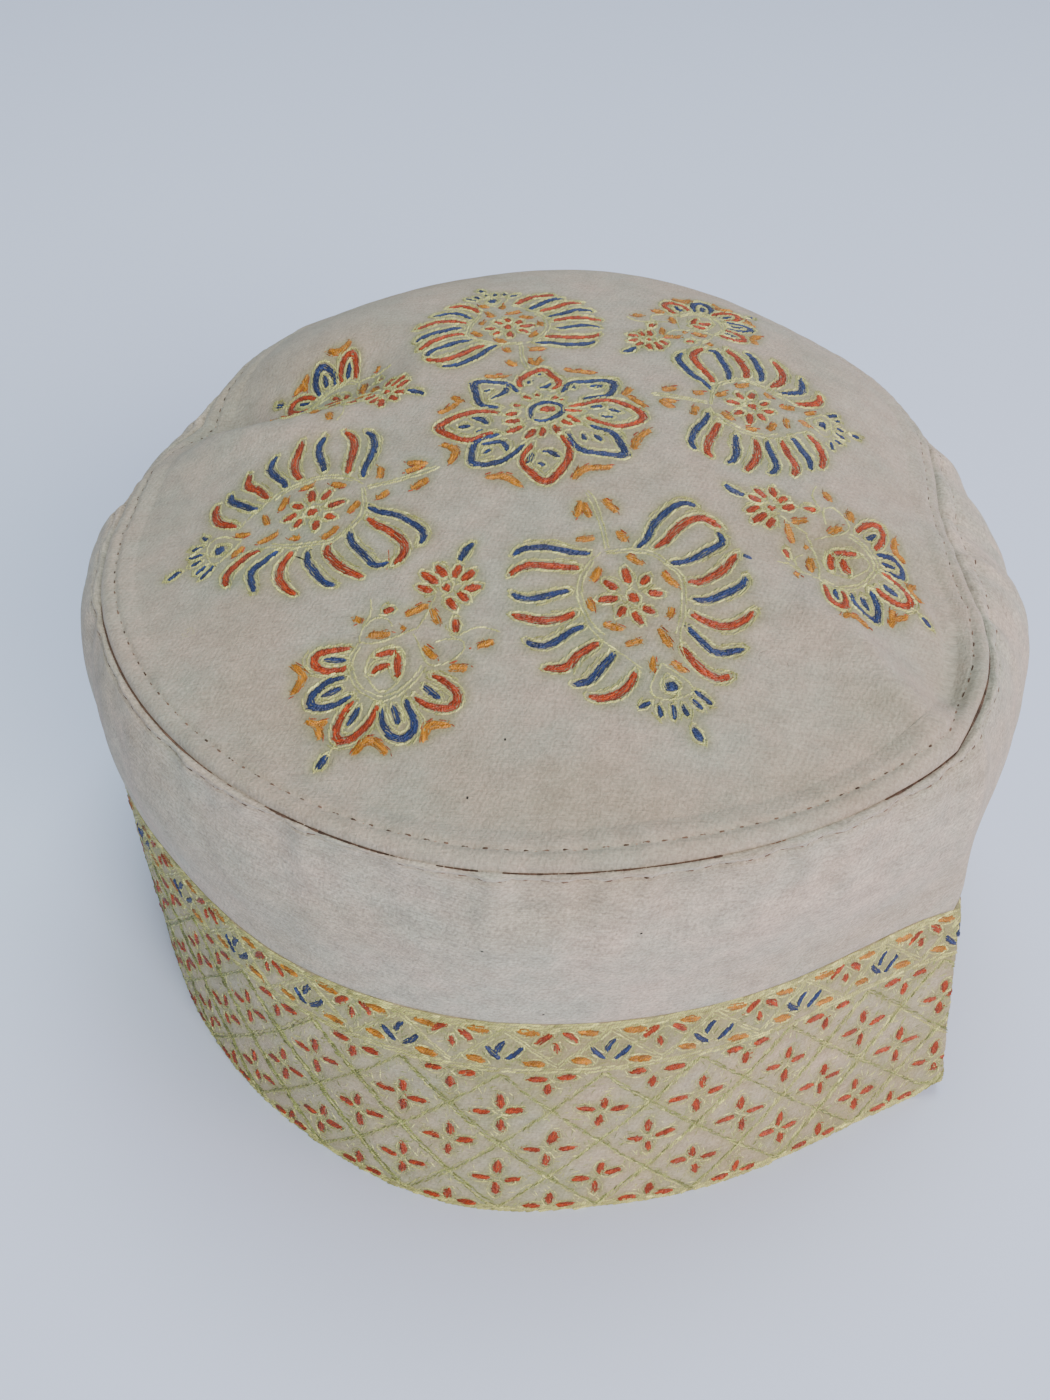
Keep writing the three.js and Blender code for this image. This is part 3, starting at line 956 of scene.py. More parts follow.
# The large motif's strokes: colour, width, then points as distances out from its middle and across
LARGE_MOTIF = (
    ("blue", 1.15, (
        (-16, -17.5), (-17, -15.5), (-16.5, -13), (-15.5, -10.5), (-14, -8.5), (-12.5, -6.5),
        (-11.5, -4),
    )),
    ("red", 1.3, ((-12, -19.5), (-13, -18), (-13, -15.5), (-12, -13), (-10.5, -10), (-9, -7))),
    ("blue", 1.15, ((-8.5, -20.5), (-7, -19.5), (-6, -18), (-5.5, -15.5), (-5.5, -12.5), (-5, -10.5))),
    ("red", 1.35, ((-4, -22), (-2.5, -20), (-1, -18), (0, -15), (0, -12.5), (-0.5, -11))),
    ("blue", 1.15, ((2, -21.5), (3.5, -20.5), (4.5, -18.5), (4, -15.5), (3, -13), (3, -10.5))),
    ("red", 1.35, ((8.5, -20.5), (9.5, -18.5), (10, -16.5), (8.5, -14.5), (7.5, -11.5), (7, -9.5))),
    ("blue", 1.25, ((13.5, -17), (14, -15), (13.5, -13), (12, -11), (10.5, -8.5), (9.5, -8))),
    ("red", 1.35, ((16.5, -15.5), (17.5, -14), (18, -11.5), (17.5, -9), (16, -7), (14.5, -5.5))),
    ("blue", 1.1, ((-10, 4), (-11.5, 7), (-14, 9), (-16, 12), (-17.5, 15), (-17.5, 17), (-16, 18.5))),
    ("red", 1.35, ((-9, 7), (-10, 10), (-11.5, 12), (-13, 15), (-13.5, 17.5), (-12.5, 19.5), (-10, 21))),
    ("blue", 1.15, ((-5, 8.5), (-4.5, 11.5), (-5, 14), (-6, 17), (-7, 20), (-9.5, 20))),
    ("red", 1.35, ((-0.5, 10), (0.5, 12), (0, 14.5), (-1, 17.5), (-2.5, 19.5), (-4, 21.5))),
    ("blue", 1.2, ((3.5, 9.5), (4.5, 12), (4, 15), (3.5, 17.5), (2.5, 20), (1, 21))),
    ("red", 1.3, ((6, 8), (8, 9.5), (9.5, 11), (10.5, 13.5), (10, 16.5), (8.5, 19.5))),
    ("blue", 1.15, ((8.5, 6.5), (10.5, 7), (13, 8), (15, 9), (15.5, 11.5), (15.5, 14.5))),
    ("red", 1.3, ((12, 4), (14, 4), (16.5, 5), (18.5, 6), (20, 7.5), (20, 10))),
    ("red", 1.9, ((-1, -0.3), (1.2, -0.3))),
    ("red", 1.4, ((-5, -4), (-2.5, -2.5))),
    ("red", 1.4, ((-6.5, 0.5), (-3, 0))),
    ("red", 1.4, ((-3.5, 4), (-2, 2))),
    ("red", 1.4, ((1, 5), (0, 2.5))),
    ("red", 1.3, ((4.5, 2), (2.5, 0.5))),
    ("red", 1.3, ((6, -1), (3, -1.5))),
    ("red", 1.4, ((3, -4.5), (1.5, -2.5))),
    ("red", 1.4, ((-1.5, -6.5), (-0.5, -3))),
    ("orange", 1.5, ((-24, -1), (-20.5, -3.5))),
    ("orange", 1.3, ((-23.5, -1), (-19.5, -1))),
    ("orange", 1.6, ((-23, 3), (-19, 4))),
    ("orange", 1.5, ((-15.5, -5.5), (-14.5, -2))),
    ("orange", 1.6, ((-15, 2.5), (-12, 3))),
    ("orange", 1.4, ((-8, -3.5), (-5.5, -6))),
    ("orange", 1.4, ((-9, 2), (-6, 4))),
    ("orange", 1.4, ((-3.5, 6.5), (0.5, 8))),
    ("orange", 1.3, ((4, 5.5), (6, 4))),
    ("orange", 1.3, ((-2.5, -8), (0.5, -8))),
    ("orange", 1.4, ((3.5, -7.5), (6, -4.5))),
    ("orange", 1.3, ((9, -5.5), (9, -2))),
    ("orange", 1.4, ((7.5, 1.5), (12, 2))),
    ("orange", 1.2, ((12.5, -1.5), (15.5, -3))),
    ("orange", 1.3, ((14.5, 1), (17.5, 2.5))),
    ("blue", 2.2, ((18.2, -0.9), (20.2, -0.9))),
    ("blue", 0.8, ((21.5, -8), (21, -5.5))),
    ("blue", 0.8, ((22, -4.5), (24.5, -5))),
    ("blue", 0.8, ((22.5, -2), (25.5, -3))),
    ("blue", 0.8, ((23, -0.5), (25.5, -0.5))),
    ("blue", 0.8, ((22.5, 1.5), (25, 2.5))),
    ("blue", 0.8, ((21, 2.5), (24.5, 4.5))),
    ("blue", 1.2, ((27.5, -0.5), (30.5, 0))),
    ("line", 0.5, ((-26, 1), (-23.5, 1.5), (-19.5, 1), (-16, 0.5), (-11.5, -0.5))),
    ("line", 0.5, ((-25.5, 0.5), (-19.5, 0.2), (-16, -0.2), (-11.5, -1.2))),
    ("line", 0.5, (
        (-11, -1.5), (-10, 3.5), (-8, 7), (-5, 8.5), (-1.5, 10), (3, 8.5), (6.5, 7), (10, 4.5),
        (15, 3.5), (19, 5),
    )),
    ("line", 0.5, (
        (-10.5, -1.5), (-9.3, 3.2), (-7.5, 6.2), (-4.8, 7.8), (-1.5, 9.2), (2.8, 7.8), (6, 6.3),
        (9.5, 3.8),
    )),
    ("line", 0.5, (
        (-11, -2), (-10, -4.5), (-7.5, -7.5), (-4, -9.5), (0, -10), (3.5, -10), (6.5, -9),
        (11, -6.5), (14.5, -4.5),
    )),
    ("line", 0.5, ((-9.5, -4), (-7, -6.8), (-3.8, -8.6), (0, -9.2), (3.2, -9.1), (6, -8))),
    ("line", 0.45, (
        (14.5, -0.7), (16.5, -3), (18.7, -4.8), (20.5, -4.5), (21.5, -2.9), (21.8, 0), (21, 2.6),
        (18, 1.5), (14.5, -0.7),
    )),
    ("line", 0.45, ((16.5, -0.8), (18, -2.6), (19.8, -3), (20.6, -1), (20, 1), (18, 0.6), (16.5, -0.8))),
)

# Strokes of the small motif, from its rounded body out to its fan of petals and in to its small flower
SMALL_MOTIF = (
    ("blue", 1.1, ((-30.5, -0.5), (-28, -1), (-25.5, -0.5))),
    ("red", 1.8, ((-20.3, 0.5), (-18.8, 0.5))),
    ("red", 1.4, ((-23, -4), (-21.5, -1))),
    ("red", 1.4, ((-25, 0), (-22, 0.5))),
    ("red", 1.4, ((-25, 3), (-22, 2))),
    ("red", 1.4, ((-22.5, 6), (-20.5, 3.5))),
    ("red", 1.4, ((-18.5, 5.5), (-19.5, 3))),
    ("red", 1.4, ((-16, 4.5), (-17.5, 2))),
    ("red", 1.4, ((-17.5, -4.5), (-17.5, -1.5))),
    ("red", 1.4, ((-20.5, -5.5), (-19.5, -1.5))),
    ("red", 1.3, ((-14.5, 5.5), (-12, 7))),
    ("red", 1.3, ((-10, -7), (-11.5, -5.5))),
    ("orange", 2.0, ((-7.4, -10.2), (-6, -10))),
    ("orange", 1.6, ((-4.5, -6.5), (-6.5, -3))),
    ("orange", 1.4, ((-11, -3), (-15, -0.5))),
    ("orange", 1.3, ((-14.5, 0.5), (-12, 3.5))),
    ("orange", 1.4, ((-9.1, -1.7), (-8.1, -1.7))),
    ("orange", 1.4, ((-7, 3.5), (-5.5, 7))),
    ("orange", 1.5, ((-11, 12), (-13.5, 14))),
    ("orange", 1.9, ((-5, 10), (-6.5, 13))),
    ("red", 1.1, ((-1.5, -3), (-4, 0))),
    ("red", 1.1, ((-3.8, 0.3), (0.5, 3))),
    ("red", 1.1, ((2, -1.5), (0, -1), (-1, 0.5))),
    ("red", 1.15, ((-1, -7.5), (0.5, -10), (2.5, -12.5), (4, -12.5), (5, -11), (4.5, -8), (2.5, -6))),
    ("blue", 1.0, ((3, -11), (1.5, -7))),
    ("blue", 1.1, (
        (4.5, -5), (5.5, -7), (8, -8), (10.5, -8.5), (12, -7.5), (11, -5), (9.5, -3.5), (7, -2),
    )),
    ("blue", 1.0, ((9.5, -7), (6.5, -4.5))),
    ("red", 1.15, (
        (7.5, -1), (10, -1.5), (13.5, -1), (15.5, 0.5), (14.5, 2.5), (11.5, 3.5), (9, 3.5),
        (6.5, 3),
    )),
    ("blue", 1.0, ((12.5, 0.5), (8.5, 0.5))),
    ("blue", 1.1, ((6.5, 4), (8.5, 5), (10, 6.5), (11, 9), (10, 11), (7, 11), (5.5, 9), (3.5, 6.5))),
    ("blue", 1.0, ((5.5, 5.5), (8.5, 8.5))),
    ("red", 1.15, (
        (2.5, 7.5), (3, 10.5), (2.5, 13), (1, 15), (-1, 14.5), (-2, 12.5), (-2.5, 9), (-2.5, 8),
    )),
    ("blue", 1.0, ((0, 8), (1, 12))),
    ("orange", 1.4, ((6, -15.5), (7.5, -12), (11.5, -12))),
    ("orange", 1.4, ((14.5, -6.5), (14.5, -4.5), (13, -3))),
    ("orange", 1.3, ((14.5, -4.5), (16.5, -2))),
    ("orange", 1.4, ((17, 4.5), (13, 5.5), (14, 10))),
    ("orange", 1.4, ((9.5, 14), (6, 13), (4.5, 16.5))),
    ("blue", 1.1, ((18.5, 0.5), (21.5, 0.5))),
    ("line", 0.5, (
        (-17, 0), (-15, 0), (-12.5, 0.5), (-9.5, 0.5), (-8.5, -0.5), (-6, -2), (-3.5, -4.5),
        (-2.5, -7),
    )),
    ("line", 0.5, ((-2.5, -7), (-4.5, -8), (-7, -8), (-8.5, -7), (-9, -5.5), (-8, -3.5))),
    ("line", 0.5, ((-11.5, -10.5), (-10, -9.5), (-8.5, -8.5), (-5.5, -8.5))),
    ("line", 0.5, (
        (-8.5, 0.5), (-6.5, 3), (-4.5, 5.5), (-4, 7.5), (-6, 9.5), (-8.5, 10.5), (-10.5, 10),
        (-11, 8), (-8.5, 5),
    )),
    ("line", 0.5, ((-11.5, 8), (-13.5, 9), (-15, 10.5), (-15.5, 12.5), (-15.5, 14))),
    ("line", 0.5, (
        (-2.5, -7), (1, -7), (3, -5.5), (5.5, -2.5), (6, 0.5), (6, 3), (4, 5), (1.5, 6), (-1, 6.5),
        (-3.5, 6.5),
    )),
    ("line", 0.5, (
        (-2, -6.2), (0.8, -6.1), (2.6, -4.8), (4.8, -2.2), (5.2, 0.5), (5.1, 2.7), (3.5, 4.3),
        (1.3, 5.2), (-1, 5.6), (-3.3, 5.6),
    )),
    ("line", 0.45, (
        (2.5, -2.5), (0, -3.5), (-2.5, -3.5), (-5, -0.5), (-3.5, 2), (-0.5, 3.5), (2.5, 3.5),
        (4.5, 2), (3.5, -0.5), (2.5, -2.5),
    )),
    ("line", 0.45, ((15.5, 0.5), (18, 0.8), (22.5, 0.4))),
)

# Strokes of the flower at the crown's middle, right and back of its core
FLOWER = (
    ("red", 2.0, ((-1.2, 0.8), (1.8, 1))),
    ("blue", 0.95, (
        (-3, -2.5), (-3, 1), (-1.5, 3), (1, 3.5), (3, 2), (3, -0.5), (1, -2.5), (-0.5, -3.5),
        (-2.5, -3),
    )),
    ("red", 1.1, ((-6.5, 2.5), (-5, 2))),
    ("red", 1.2, ((-8, -1), (-5.5, -0.5))),
    ("red", 1.2, ((-8, -3.5), (-5, -3))),
    ("red", 1.3, ((-7.5, -7), (-4.5, -5))),
    ("red", 1.2, ((-4, -9), (-2, -6))),
    ("red", 1.1, ((-1, -8.5), (-0.5, -5.5))),
    ("red", 1.2, ((1.5, -4.5), (2.5, -7.5))),
    ("red", 1.2, ((3, -3), (5, -5))),
    ("red", 1.1, ((4, -1.5), (6.5, -4))),
    ("red", 1.1, ((3.5, 0.5), (7, 0))),
    ("red", 1.0, ((2.5, 4), (3.5, 4.5))),
    ("red", 1.0, ((1, 4), (2, 6))),
    ("red", 1.0, ((-2, 7), (-1.5, 5.5))),
    ("red", 1.1, ((-4.5, 6), (-3, 4.5))),
    ("red", 1.25, (
        (-2.5, -10), (-4.5, -15.5), (-2.5, -19), (0, -21.5), (2, -19.5), (4, -16), (4.5, -11.5),
        (2.5, -7.5),
    )),
    ("blue", 0.9, ((-3.5, -16.5), (-2.5, -13))),
    ("blue", 0.95, ((-1, -13), (1, -13), (2.5, -15))),
    ("blue", 1.3, ((-1.3, -16), (-0.4, -17))),
    ("red", 1.25, (
        (4, 1.5), (8, 3), (11.5, 4.5), (15.5, 3), (19, -1), (16, -4.5), (13, -5), (10, -3.5),
        (7.5, -2),
    )),
    ("blue", 1.1, ((8.5, 1.5), (11, 2))),
    ("blue", 0.9, ((12, 1), (14.5, 0))),
    ("blue", 0.9, ((10.5, -1.5), (13, -2))),
    ("red", 1.25, (
        (-9, -0.5), (-11, 0.5), (-14.5, 0.5), (-18, -1), (-21, -3.5), (-17.5, -7), (-14.5, -8.5),
        (-12, -7), (-9.5, -6.5),
    )),
    ("blue", 1.0, ((-14.5, -1.5), (-12, -2), (-11.5, -4))),
    ("blue", 1.1, ((-17, -4), (-14.5, -4))),
    ("blue", 0.8, ((-13.5, -6), (-12, -5.5))),
    ("red", 1.2, ((-5, 9), (-5.5, 12), (-3.5, 14.5), (-0.5, 16.5), (1, 14), (3, 11), (1, 8.5))),
    ("blue", 1.0, ((-3.5, 12), (-3.5, 10.5))),
    ("blue", 1.5, ((-1.7, 14), (-0.9, 14.4))),
    ("blue", 0.9, ((-1.5, 9), (-0.5, 9), (1, 11))),
    ("blue", 1.15, (
        (-5.5, 7), (-7.5, 10.5), (-10, 11), (-12.5, 11.5), (-14.5, 11), (-14, 7.5), (-13, 3),
        (-11, 2), (-9, 1.5),
    )),
    ("blue", 0.9, ((-12.5, 7.5), (-11, 8))),
    ("blue", 0.9, ((-8, 10), (-8, 7.5), (-11, 4.5))),
    ("blue", 1.15, (
        (3, 7), (4.5, 11), (7.5, 11.5), (10.5, 12), (13.5, 11.5), (12.5, 6.5), (9.5, 5.5), (7, 4.5),
    )),
    ("blue", 0.9, ((5.5, 10.5), (5.5, 8.5))),
    ("blue", 0.9, ((8.5, 9.5), (11, 10.5), (10, 9))),
    ("blue", 1.15, (
        (-8.5, -7), (-11, -8), (-13.5, -9), (-14, -12), (-14, -15.5), (-11, -16), (-8, -15),
        (-5.5, -12.5), (-4, -10.5),
    )),
    ("blue", 0.9, ((-12.5, -10), (-9.5, -9.5), (-7.5, -10), (-7.5, -12.5))),
    ("blue", 1.0, ((-12, -13), (-10.5, -11.5))),
    ("blue", 1.2, (
        (4, -7), (5, -10.5), (7, -13), (9.5, -13.5), (12.5, -14), (15, -14), (14, -10.5),
        (13, -7.5), (10.5, -6), (8, -4.5),
    )),
    ("blue", 0.9, ((7, -7.5), (7.5, -10))),
    ("blue", 0.9, ((9, -8), (9.5, -8), (10.5, -10))),
    ("orange", 1.4, ((-21, 1), (-17, 4))),
    ("orange", 1.3, ((-18.5, 6.5), (-16.5, 4))),
    ("orange", 1.4, ((-20, -9), (-17, -11), (-18.5, -15))),
    ("orange", 1.5, ((-11.5, -19.5), (-7.5, -19.5), (-4.5, -22.5))),
    ("orange", 1.5, ((5, -21), (7, -18), (12.5, -17.5))),
    ("orange", 1.6, ((16.5, -12.5), (17.5, -8.5), (20, -5.5))),
    ("orange", 1.3, ((15, 6.5), (17, 9.5))),
    ("orange", 1.3, ((16, 6.5), (19.5, 2.5))),
    ("orange", 1.3, ((3.5, 16.5), (5.5, 16), (10, 15))),
    ("orange", 1.2, ((-12.5, 13.5), (-7.5, 13.5))),
    ("line", 0.4, ((-1.8, -0.2), (-1.6, 1.8), (0.5, 2.4), (2.2, 1.8), (2.2, 0), (0, -0.8), (-1.8, -0.2))),
)

# Where each motif lies on the crown laid flat: its middle, the turn of its outward direction in degrees, and
# how long and wide it is against the chart
FLOWER_PLACE = (-2.8, 2.7)
LARGE_PLACES = (
    (13.2, -45.6, 290.6, 1.0, 1.0),
    (-46.7, -20.7, 200.0, 0.97, 1.0),
    (37.9, 9.1, 0.0, 0.77, 0.98),
    (-11.3, 36.5, 108.0, 0.7, 0.93),
)
SMALL_PLACES = (
    (-30.5, -59.9, 240.2, 1.0, 1.0),
    (53.3, -31.3, 327.5, 0.88, 0.97),
    (30.6, 41.0, 38.0, 0.75, 0.8),
    (-48.0, 22.3, 150.0, 0.78, 0.95),
)
OUTLINE_GAP = 0.45
STROKE_WIDEN = 1.16
PALE_WIDTH = 0.38


def placed(points, place):
    """Charted points moved to one motif's place on the crown laid flat."""
    x, y, turn, longer, wider = place
    angle = math.radians(turn)
    local = np.asarray(points, float) * (longer, wider)
    out = np.array([math.cos(angle), math.sin(angle)])
    across = np.array([-math.sin(angle), math.cos(angle)])
    return np.array([x, y]) + local[:, :1] * out + local[:, 1:] * across


def lay_motif(threads, motif, place):
    """Lays one motif's strokes: rows of stitches in colour, and a pale line round each."""
    for color, width, points in motif:
        path = placed(points, place)
        if color == "line":
            threads["pale"].line(path, PALE_WIDTH)
            continue
        wide = width * STROKE_WIDEN
        threads[color].fill(path, wide)
        if color == "orange":
            trim = outline_path(path, wide / 2 + 0.1)
            threads["red"].line(trim[: len(trim) // 2], 0.22, pitch=2.2, height=0.3, rough=0.2, shade=0.8)
            continue
        threads["pale"].line(outline_path(path, wide / 2 + OUTLINE_GAP), PALE_WIDTH, height=0.42, rough=0.13)
        around = outline_path(path, wide / 2 + OUTLINE_GAP + 0.5)
        first = threads["pale"].draw.randint(len(around) // 2)
        threads["pale"].line(around[first : first + len(around) // 3], 0.25, rough=0.24, shade=0.75)


def crown_threads():
    threads = {"pale": Thread(41), "red": Thread(42), "blue": Thread(43), "orange": Thread(44)}
    lay_motif(threads, FLOWER, (*FLOWER_PLACE, 0.0, 1.0, 1.0))
    for place in LARGE_PLACES:
        lay_motif(threads, LARGE_MOTIF, place)
    for place in SMALL_PLACES:
        lay_motif(threads, SMALL_MOTIF, place)
    return threads


# Section: the band's pattern, in lengths along the band and heights above its hem

BORDER_REPEATS = 31
LATTICE_REPEATS = 32
BORDER_LINE = 38.4
TOP_LINE = 48.6
LATTICE_TOP = 37.4
BORDER_START = 423.0
LATTICE_START = 431.5

# Rows of the lattice's flowers: height, shift in repeats, and whether the upper petal is left out
LATTICE_ROWS = (
    (36.4, 0.0, True),
    (27.4, 0.5, False),
    (18.3, 0.0, False),
    (9.3, 0.5, False),
    (0.6, 0.0, False),
)
# The lattice's lines side by side: offset, thread of the falling line and of the rising one
# The rising lines carry two pale strands and the falling lines two olive ones: partly the two threads,
# partly a painted sheen of the silk, which catches the light along one direction of line more than the
# other.
LATTICE_LINES = (
    (-0.42, "olive", "pale"),
    (0.0, "pale", "olive"),
    (0.42, "olive", "pale"),
)
EDGE_LINES = (49.05, 48.5, 47.95, BORDER_LINE + 0.35, BORDER_LINE - 0.35, 0.4, 0.95, 1.5)

# One repeat of the border, from the middle of a blue tulip
TULIP = (
    ("blue", 0.9, ((-3.6, 43.9), (-2.5, 42.1), (-1.0, 40.9))),
    ("blue", 0.9, ((0.6, 45.6), (-0.7, 44.2), (-1.1, 42.5))),
    ("blue", 0.9, ((0.4, 40.9), (2.1, 42.1), (3.5, 44.0))),
    ("orange", 1.35, ((-7.0, 41.2), (-3.2, 40.1))),
    ("orange", 1.35, ((2.9, 40.4), (7.2, 39.7))),
    ("orange", 1.35, ((-6.6, 47.8), (-2.4, 47.1))),
    ("orange", 1.35, ((2.2, 47.6), (6.6, 47.0))),
)
THREE_STROKES = (
    ("red", 1.15, ((-3.7, 44.9), (-2.2, 46.5), (-0.5, 47.3))),
    ("red", 1.15, ((1.0, 47.3), (2.5, 46.4), (3.7, 44.7))),
    ("red", 1.15, ((-0.2, 45.2), (-0.1, 42.6))),
)
PETALS = (
    ((-5.2, 0.3), (-1.3, 0.0)),
    ((1.3, 0.0), (5.2, 0.3)),
    ((0.5, 4.7), (0.0, 1.2)),
    ((0.0, -1.2), (-0.3, -4.7)),
)


def wandering(ends, draw):
    """A straight line between two ends, made to wander a little to either side."""
    part = np.linspace(0, 1, 12)[:, None]
    path = np.asarray(ends[0]) * (1 - part) + np.asarray(ends[1]) * part
    path[:, 0] += np.cumsum(draw.uniform(-0.22, 0.22, 12))
    return path


def lay_filling(thread, count):
    """Fine pale stitches scattered over the band's ground, most of them upright."""
    draw = thread.draw
    for unused_stitch in range(count):
        middle = np.array([draw.uniform(0, BAND_LENGTH), draw.uniform(1.0, BAND_HEIGHT - 1.0)])
        heading = math.radians(draw.choice((62.0, 118.0, 8.0, 90.0)) + draw.uniform(-16, 16))
        reach = np.array([math.cos(heading), math.sin(heading)]) * draw.uniform(0.5, 1.1)
        low = middle - reach
        high = middle + reach
        if 0.5 < low[1] < BAND_HEIGHT - 0.5 and 0.5 < high[1] < BAND_HEIGHT - 0.5:
            width = draw.uniform(0.18, 0.32)
            height = draw.uniform(0.14, 0.3)
            thread.stitch(low, high, width, height, draw.uniform(0.55, 1.6))


def band_threads():
    names = ("pale", "olive", "edge", "fine", "red", "blue", "orange", "moss")
    threads = {name: Thread(61 + index) for index, name in enumerate(names)}
    draw = np.random.RandomState(77)
    step = BAND_LENGTH / BORDER_REPEATS
    for repeat in range(BORDER_REPEATS):
        middle = BORDER_START + repeat * step
        for rows, shift in ((TULIP, 0.0), (THREE_STROKES, step / 2)):
            for color, width, points in rows:
                jitter = draw.uniform(-0.45, 0.45, 2)
                path = np.asarray(points, float) + (middle + shift + jitter[0], jitter[1])
                wide = width * draw.uniform(1.05, 1.35)
                threads[color].fill(path, wide, blunt=0.3, pointed=color != "blue")
                ring = outline_path(path, wide / 2 + 0.32)
                threads["fine"].line(ring, 0.28, height=0.34, rough=0.14, shade=1.15)
                if color != "orange":
                    ring = outline_path(path, wide / 2 + 0.75)
                    threads["moss"].line(ring, 0.3, height=0.18, rough=0.25)
        for lift in (0.0, 0.8):
            low = (middle - step / 2, BORDER_LINE + 0.6 + lift)
            high = (middle, TOP_LINE - 1.2 + lift)
            end = (middle + step / 2, BORDER_LINE + 0.6 + lift)
            threads["pale"].line((low, high), 0.36, height=0.3, rough=0.16)
            threads["pale"].line((high, end), 0.36, height=0.3, rough=0.16)
    steps = np.linspace(0, BAND_LENGTH, 240)
    for height in EDGE_LINES:
        level = height + 0.12 * np.sin(steps * 0.7 + height)
        threads["edge"].line(np.stack([steps, level], 1), 0.42, height=0.36, rough=0.14)
    step = BAND_LENGTH / LATTICE_REPEATS
    run = LATTICE_TOP - 0.8
    drop = run / 9.1 * step / 2
    for repeat in range(LATTICE_REPEATS):
        foot = LATTICE_START + (repeat + 0.5) * step
        for offset, fall, rise in LATTICE_LINES:
            falling = ((foot + offset, LATTICE_TOP), (foot + offset + drop, LATTICE_TOP - run))
            rising = ((foot + offset, LATTICE_TOP), (foot + offset - drop, LATTICE_TOP - run))
            threads[fall].line(wandering(falling, draw), 0.34, height=0.42, rough=0.26, shade=0.9)
            threads[rise].line(wandering(rising, draw), 0.32, height=0.36, rough=0.26, shade=0.9)
        for height, shift, half in LATTICE_ROWS:
            middle = LATTICE_START + (repeat + shift) * step
            for index, points in enumerate(PETALS):
                if half and index == 2 or height < 2 and index == 3:
                    continue
                jitter = draw.uniform(-0.45, 0.45, 2)
                turn = draw.uniform(-0.16, 0.16)
                spin = np.array(((math.cos(turn), -math.sin(turn)), (math.sin(turn), math.cos(turn))))
                path = (np.asarray(points, float) @ spin) * draw.uniform(0.85, 1.1)
                path = path + (middle + jitter[0], height + jitter[1])
                path[:, 1] = np.clip(path[:, 1], 1.7, LATTICE_TOP - 0.7)
                wide = 1.5 if index < 2 else 1.65
                threads["red"].fill(path, wide * draw.uniform(0.85, 1.12), blunt=0.26, pointed=True)
                ring = outline_path(path, wide / 2 + 0.2)
                threads["moss"].line(ring, 0.34, height=0.2, rough=0.2, shade=0.62)
                ring = outline_path(path, wide / 2 + 0.62)
                threads["fine"].line(ring, 0.26, height=0.3, rough=0.26)
    lay_filling(threads["fine"], 4600)
    lay_filling(threads["moss"], 3000)
    return threads


CROWN_THREADS = crown_threads()
BAND_THREADS = band_threads()
CROWN_GRID = press_grid(CROWN_THREADS, CROWN_PRESS_LOW, (84.0, 84.0))
CROWN_NEAR = softened(CROWN_GRID, 0.5)
CROWN_WIDE = softened(CROWN_GRID, 2.2)
CROWN_SHADE = softened(CROWN_GRID, 1.0)
BAND_PRESS_HIGH = (BAND_LENGTH + 8.0, BAND_HEIGHT + 4.0)
BAND_GRID = press_grid(BAND_THREADS, BAND_PRESS_LOW, BAND_PRESS_HIGH, BAND_LENGTH)
BAND_NEAR = softened(BAND_GRID, 0.5)
BAND_WIDE = softened(BAND_GRID, 2.2)
BAND_SHADE = softened(BAND_GRID, 0.9)


# Section: the sewing thread along the seam, and painted shade down in its crease

CREASE_DEPTH = 0.95


def seam_threads():
    """Short topstitches on both sides of the seam."""
    crown = Thread(91)
    wall = Thread(92)
    pitch = SEAM_LENGTH / STITCH_COUNT
    sides = ((crown, CROWN_STITCH_IN, 0.44, 0.0), (wall, WALL_STITCH_DOWN, 0.42, 0.25))
    for thread, away, width, long in sides:
        draw = thread.draw
        for index in range(STITCH_COUNT):
            middle = (index + 0.5) * pitch + draw.uniform(-0.15, 0.15)
            reach = draw.uniform(0.36, 0.72) + long
            sway = away + draw.uniform(-0.1, 0.1)
            shade = draw.uniform(0.5, 1.9) + long
            thread.stitch((middle - reach, sway), (middle + reach, sway), width, 0.14, shade)
            thread.stitch((middle - pitch + 0.7, sway), (middle - 0.7, sway), 0.2, 0.07, 3.4)
    return crown, wall


def crease_surface(along, lift):
    """The bottom of the crease between crown and wall."""
    azimuth = seam_place(along)
    full = np.ones_like(azimuth)
    square = facing(crown_base, azimuth, full)
    return crown_base(azimuth, full) - square * CREASE_DEPTH + square * lift[..., None], square


def crease_shade_thread():
    """Dark thread seen down in the seam, partly the sewing thread and partly painted shade of the crease,
    fuller in some places than in others.
    """
    thread = Thread(95)
    draw = thread.draw
    at = 0.0
    while at < SEAM_LENGTH:
        turn = float(np.interp(at, SEAM_ARCS, TABLE_AZIMUTHS))
        open_here = soft_noise(np.array([at + 400.0]), np.array([7.0]), 17.0, 93)[0]
        # Painted shade is lighter where the crease is less dark: there the thread sits lower and is lighter.
        weak = 1.0 if 285 < turn < 304 or 30 < turn < 200 else 0.0
        aside = 1.0 if turn < 240 else 0.0
        lift = 0.2 + 0.12 * open_here - 0.32 * weak - 0.1 * aside + draw.uniform(-0.06, 0.06)
        shade = 0.9 + 0.9 * weak + 0.8 * aside + 0.35 * draw.uniform(-1, 1)
        length = draw.uniform(1.2, 2.0)
        thread.stitch((at, lift), (at + length, lift), 0.55, 0.3, shade)
        at += length * 0.75
    return thread


# Section: loose fibres and specks that the worn cap carries

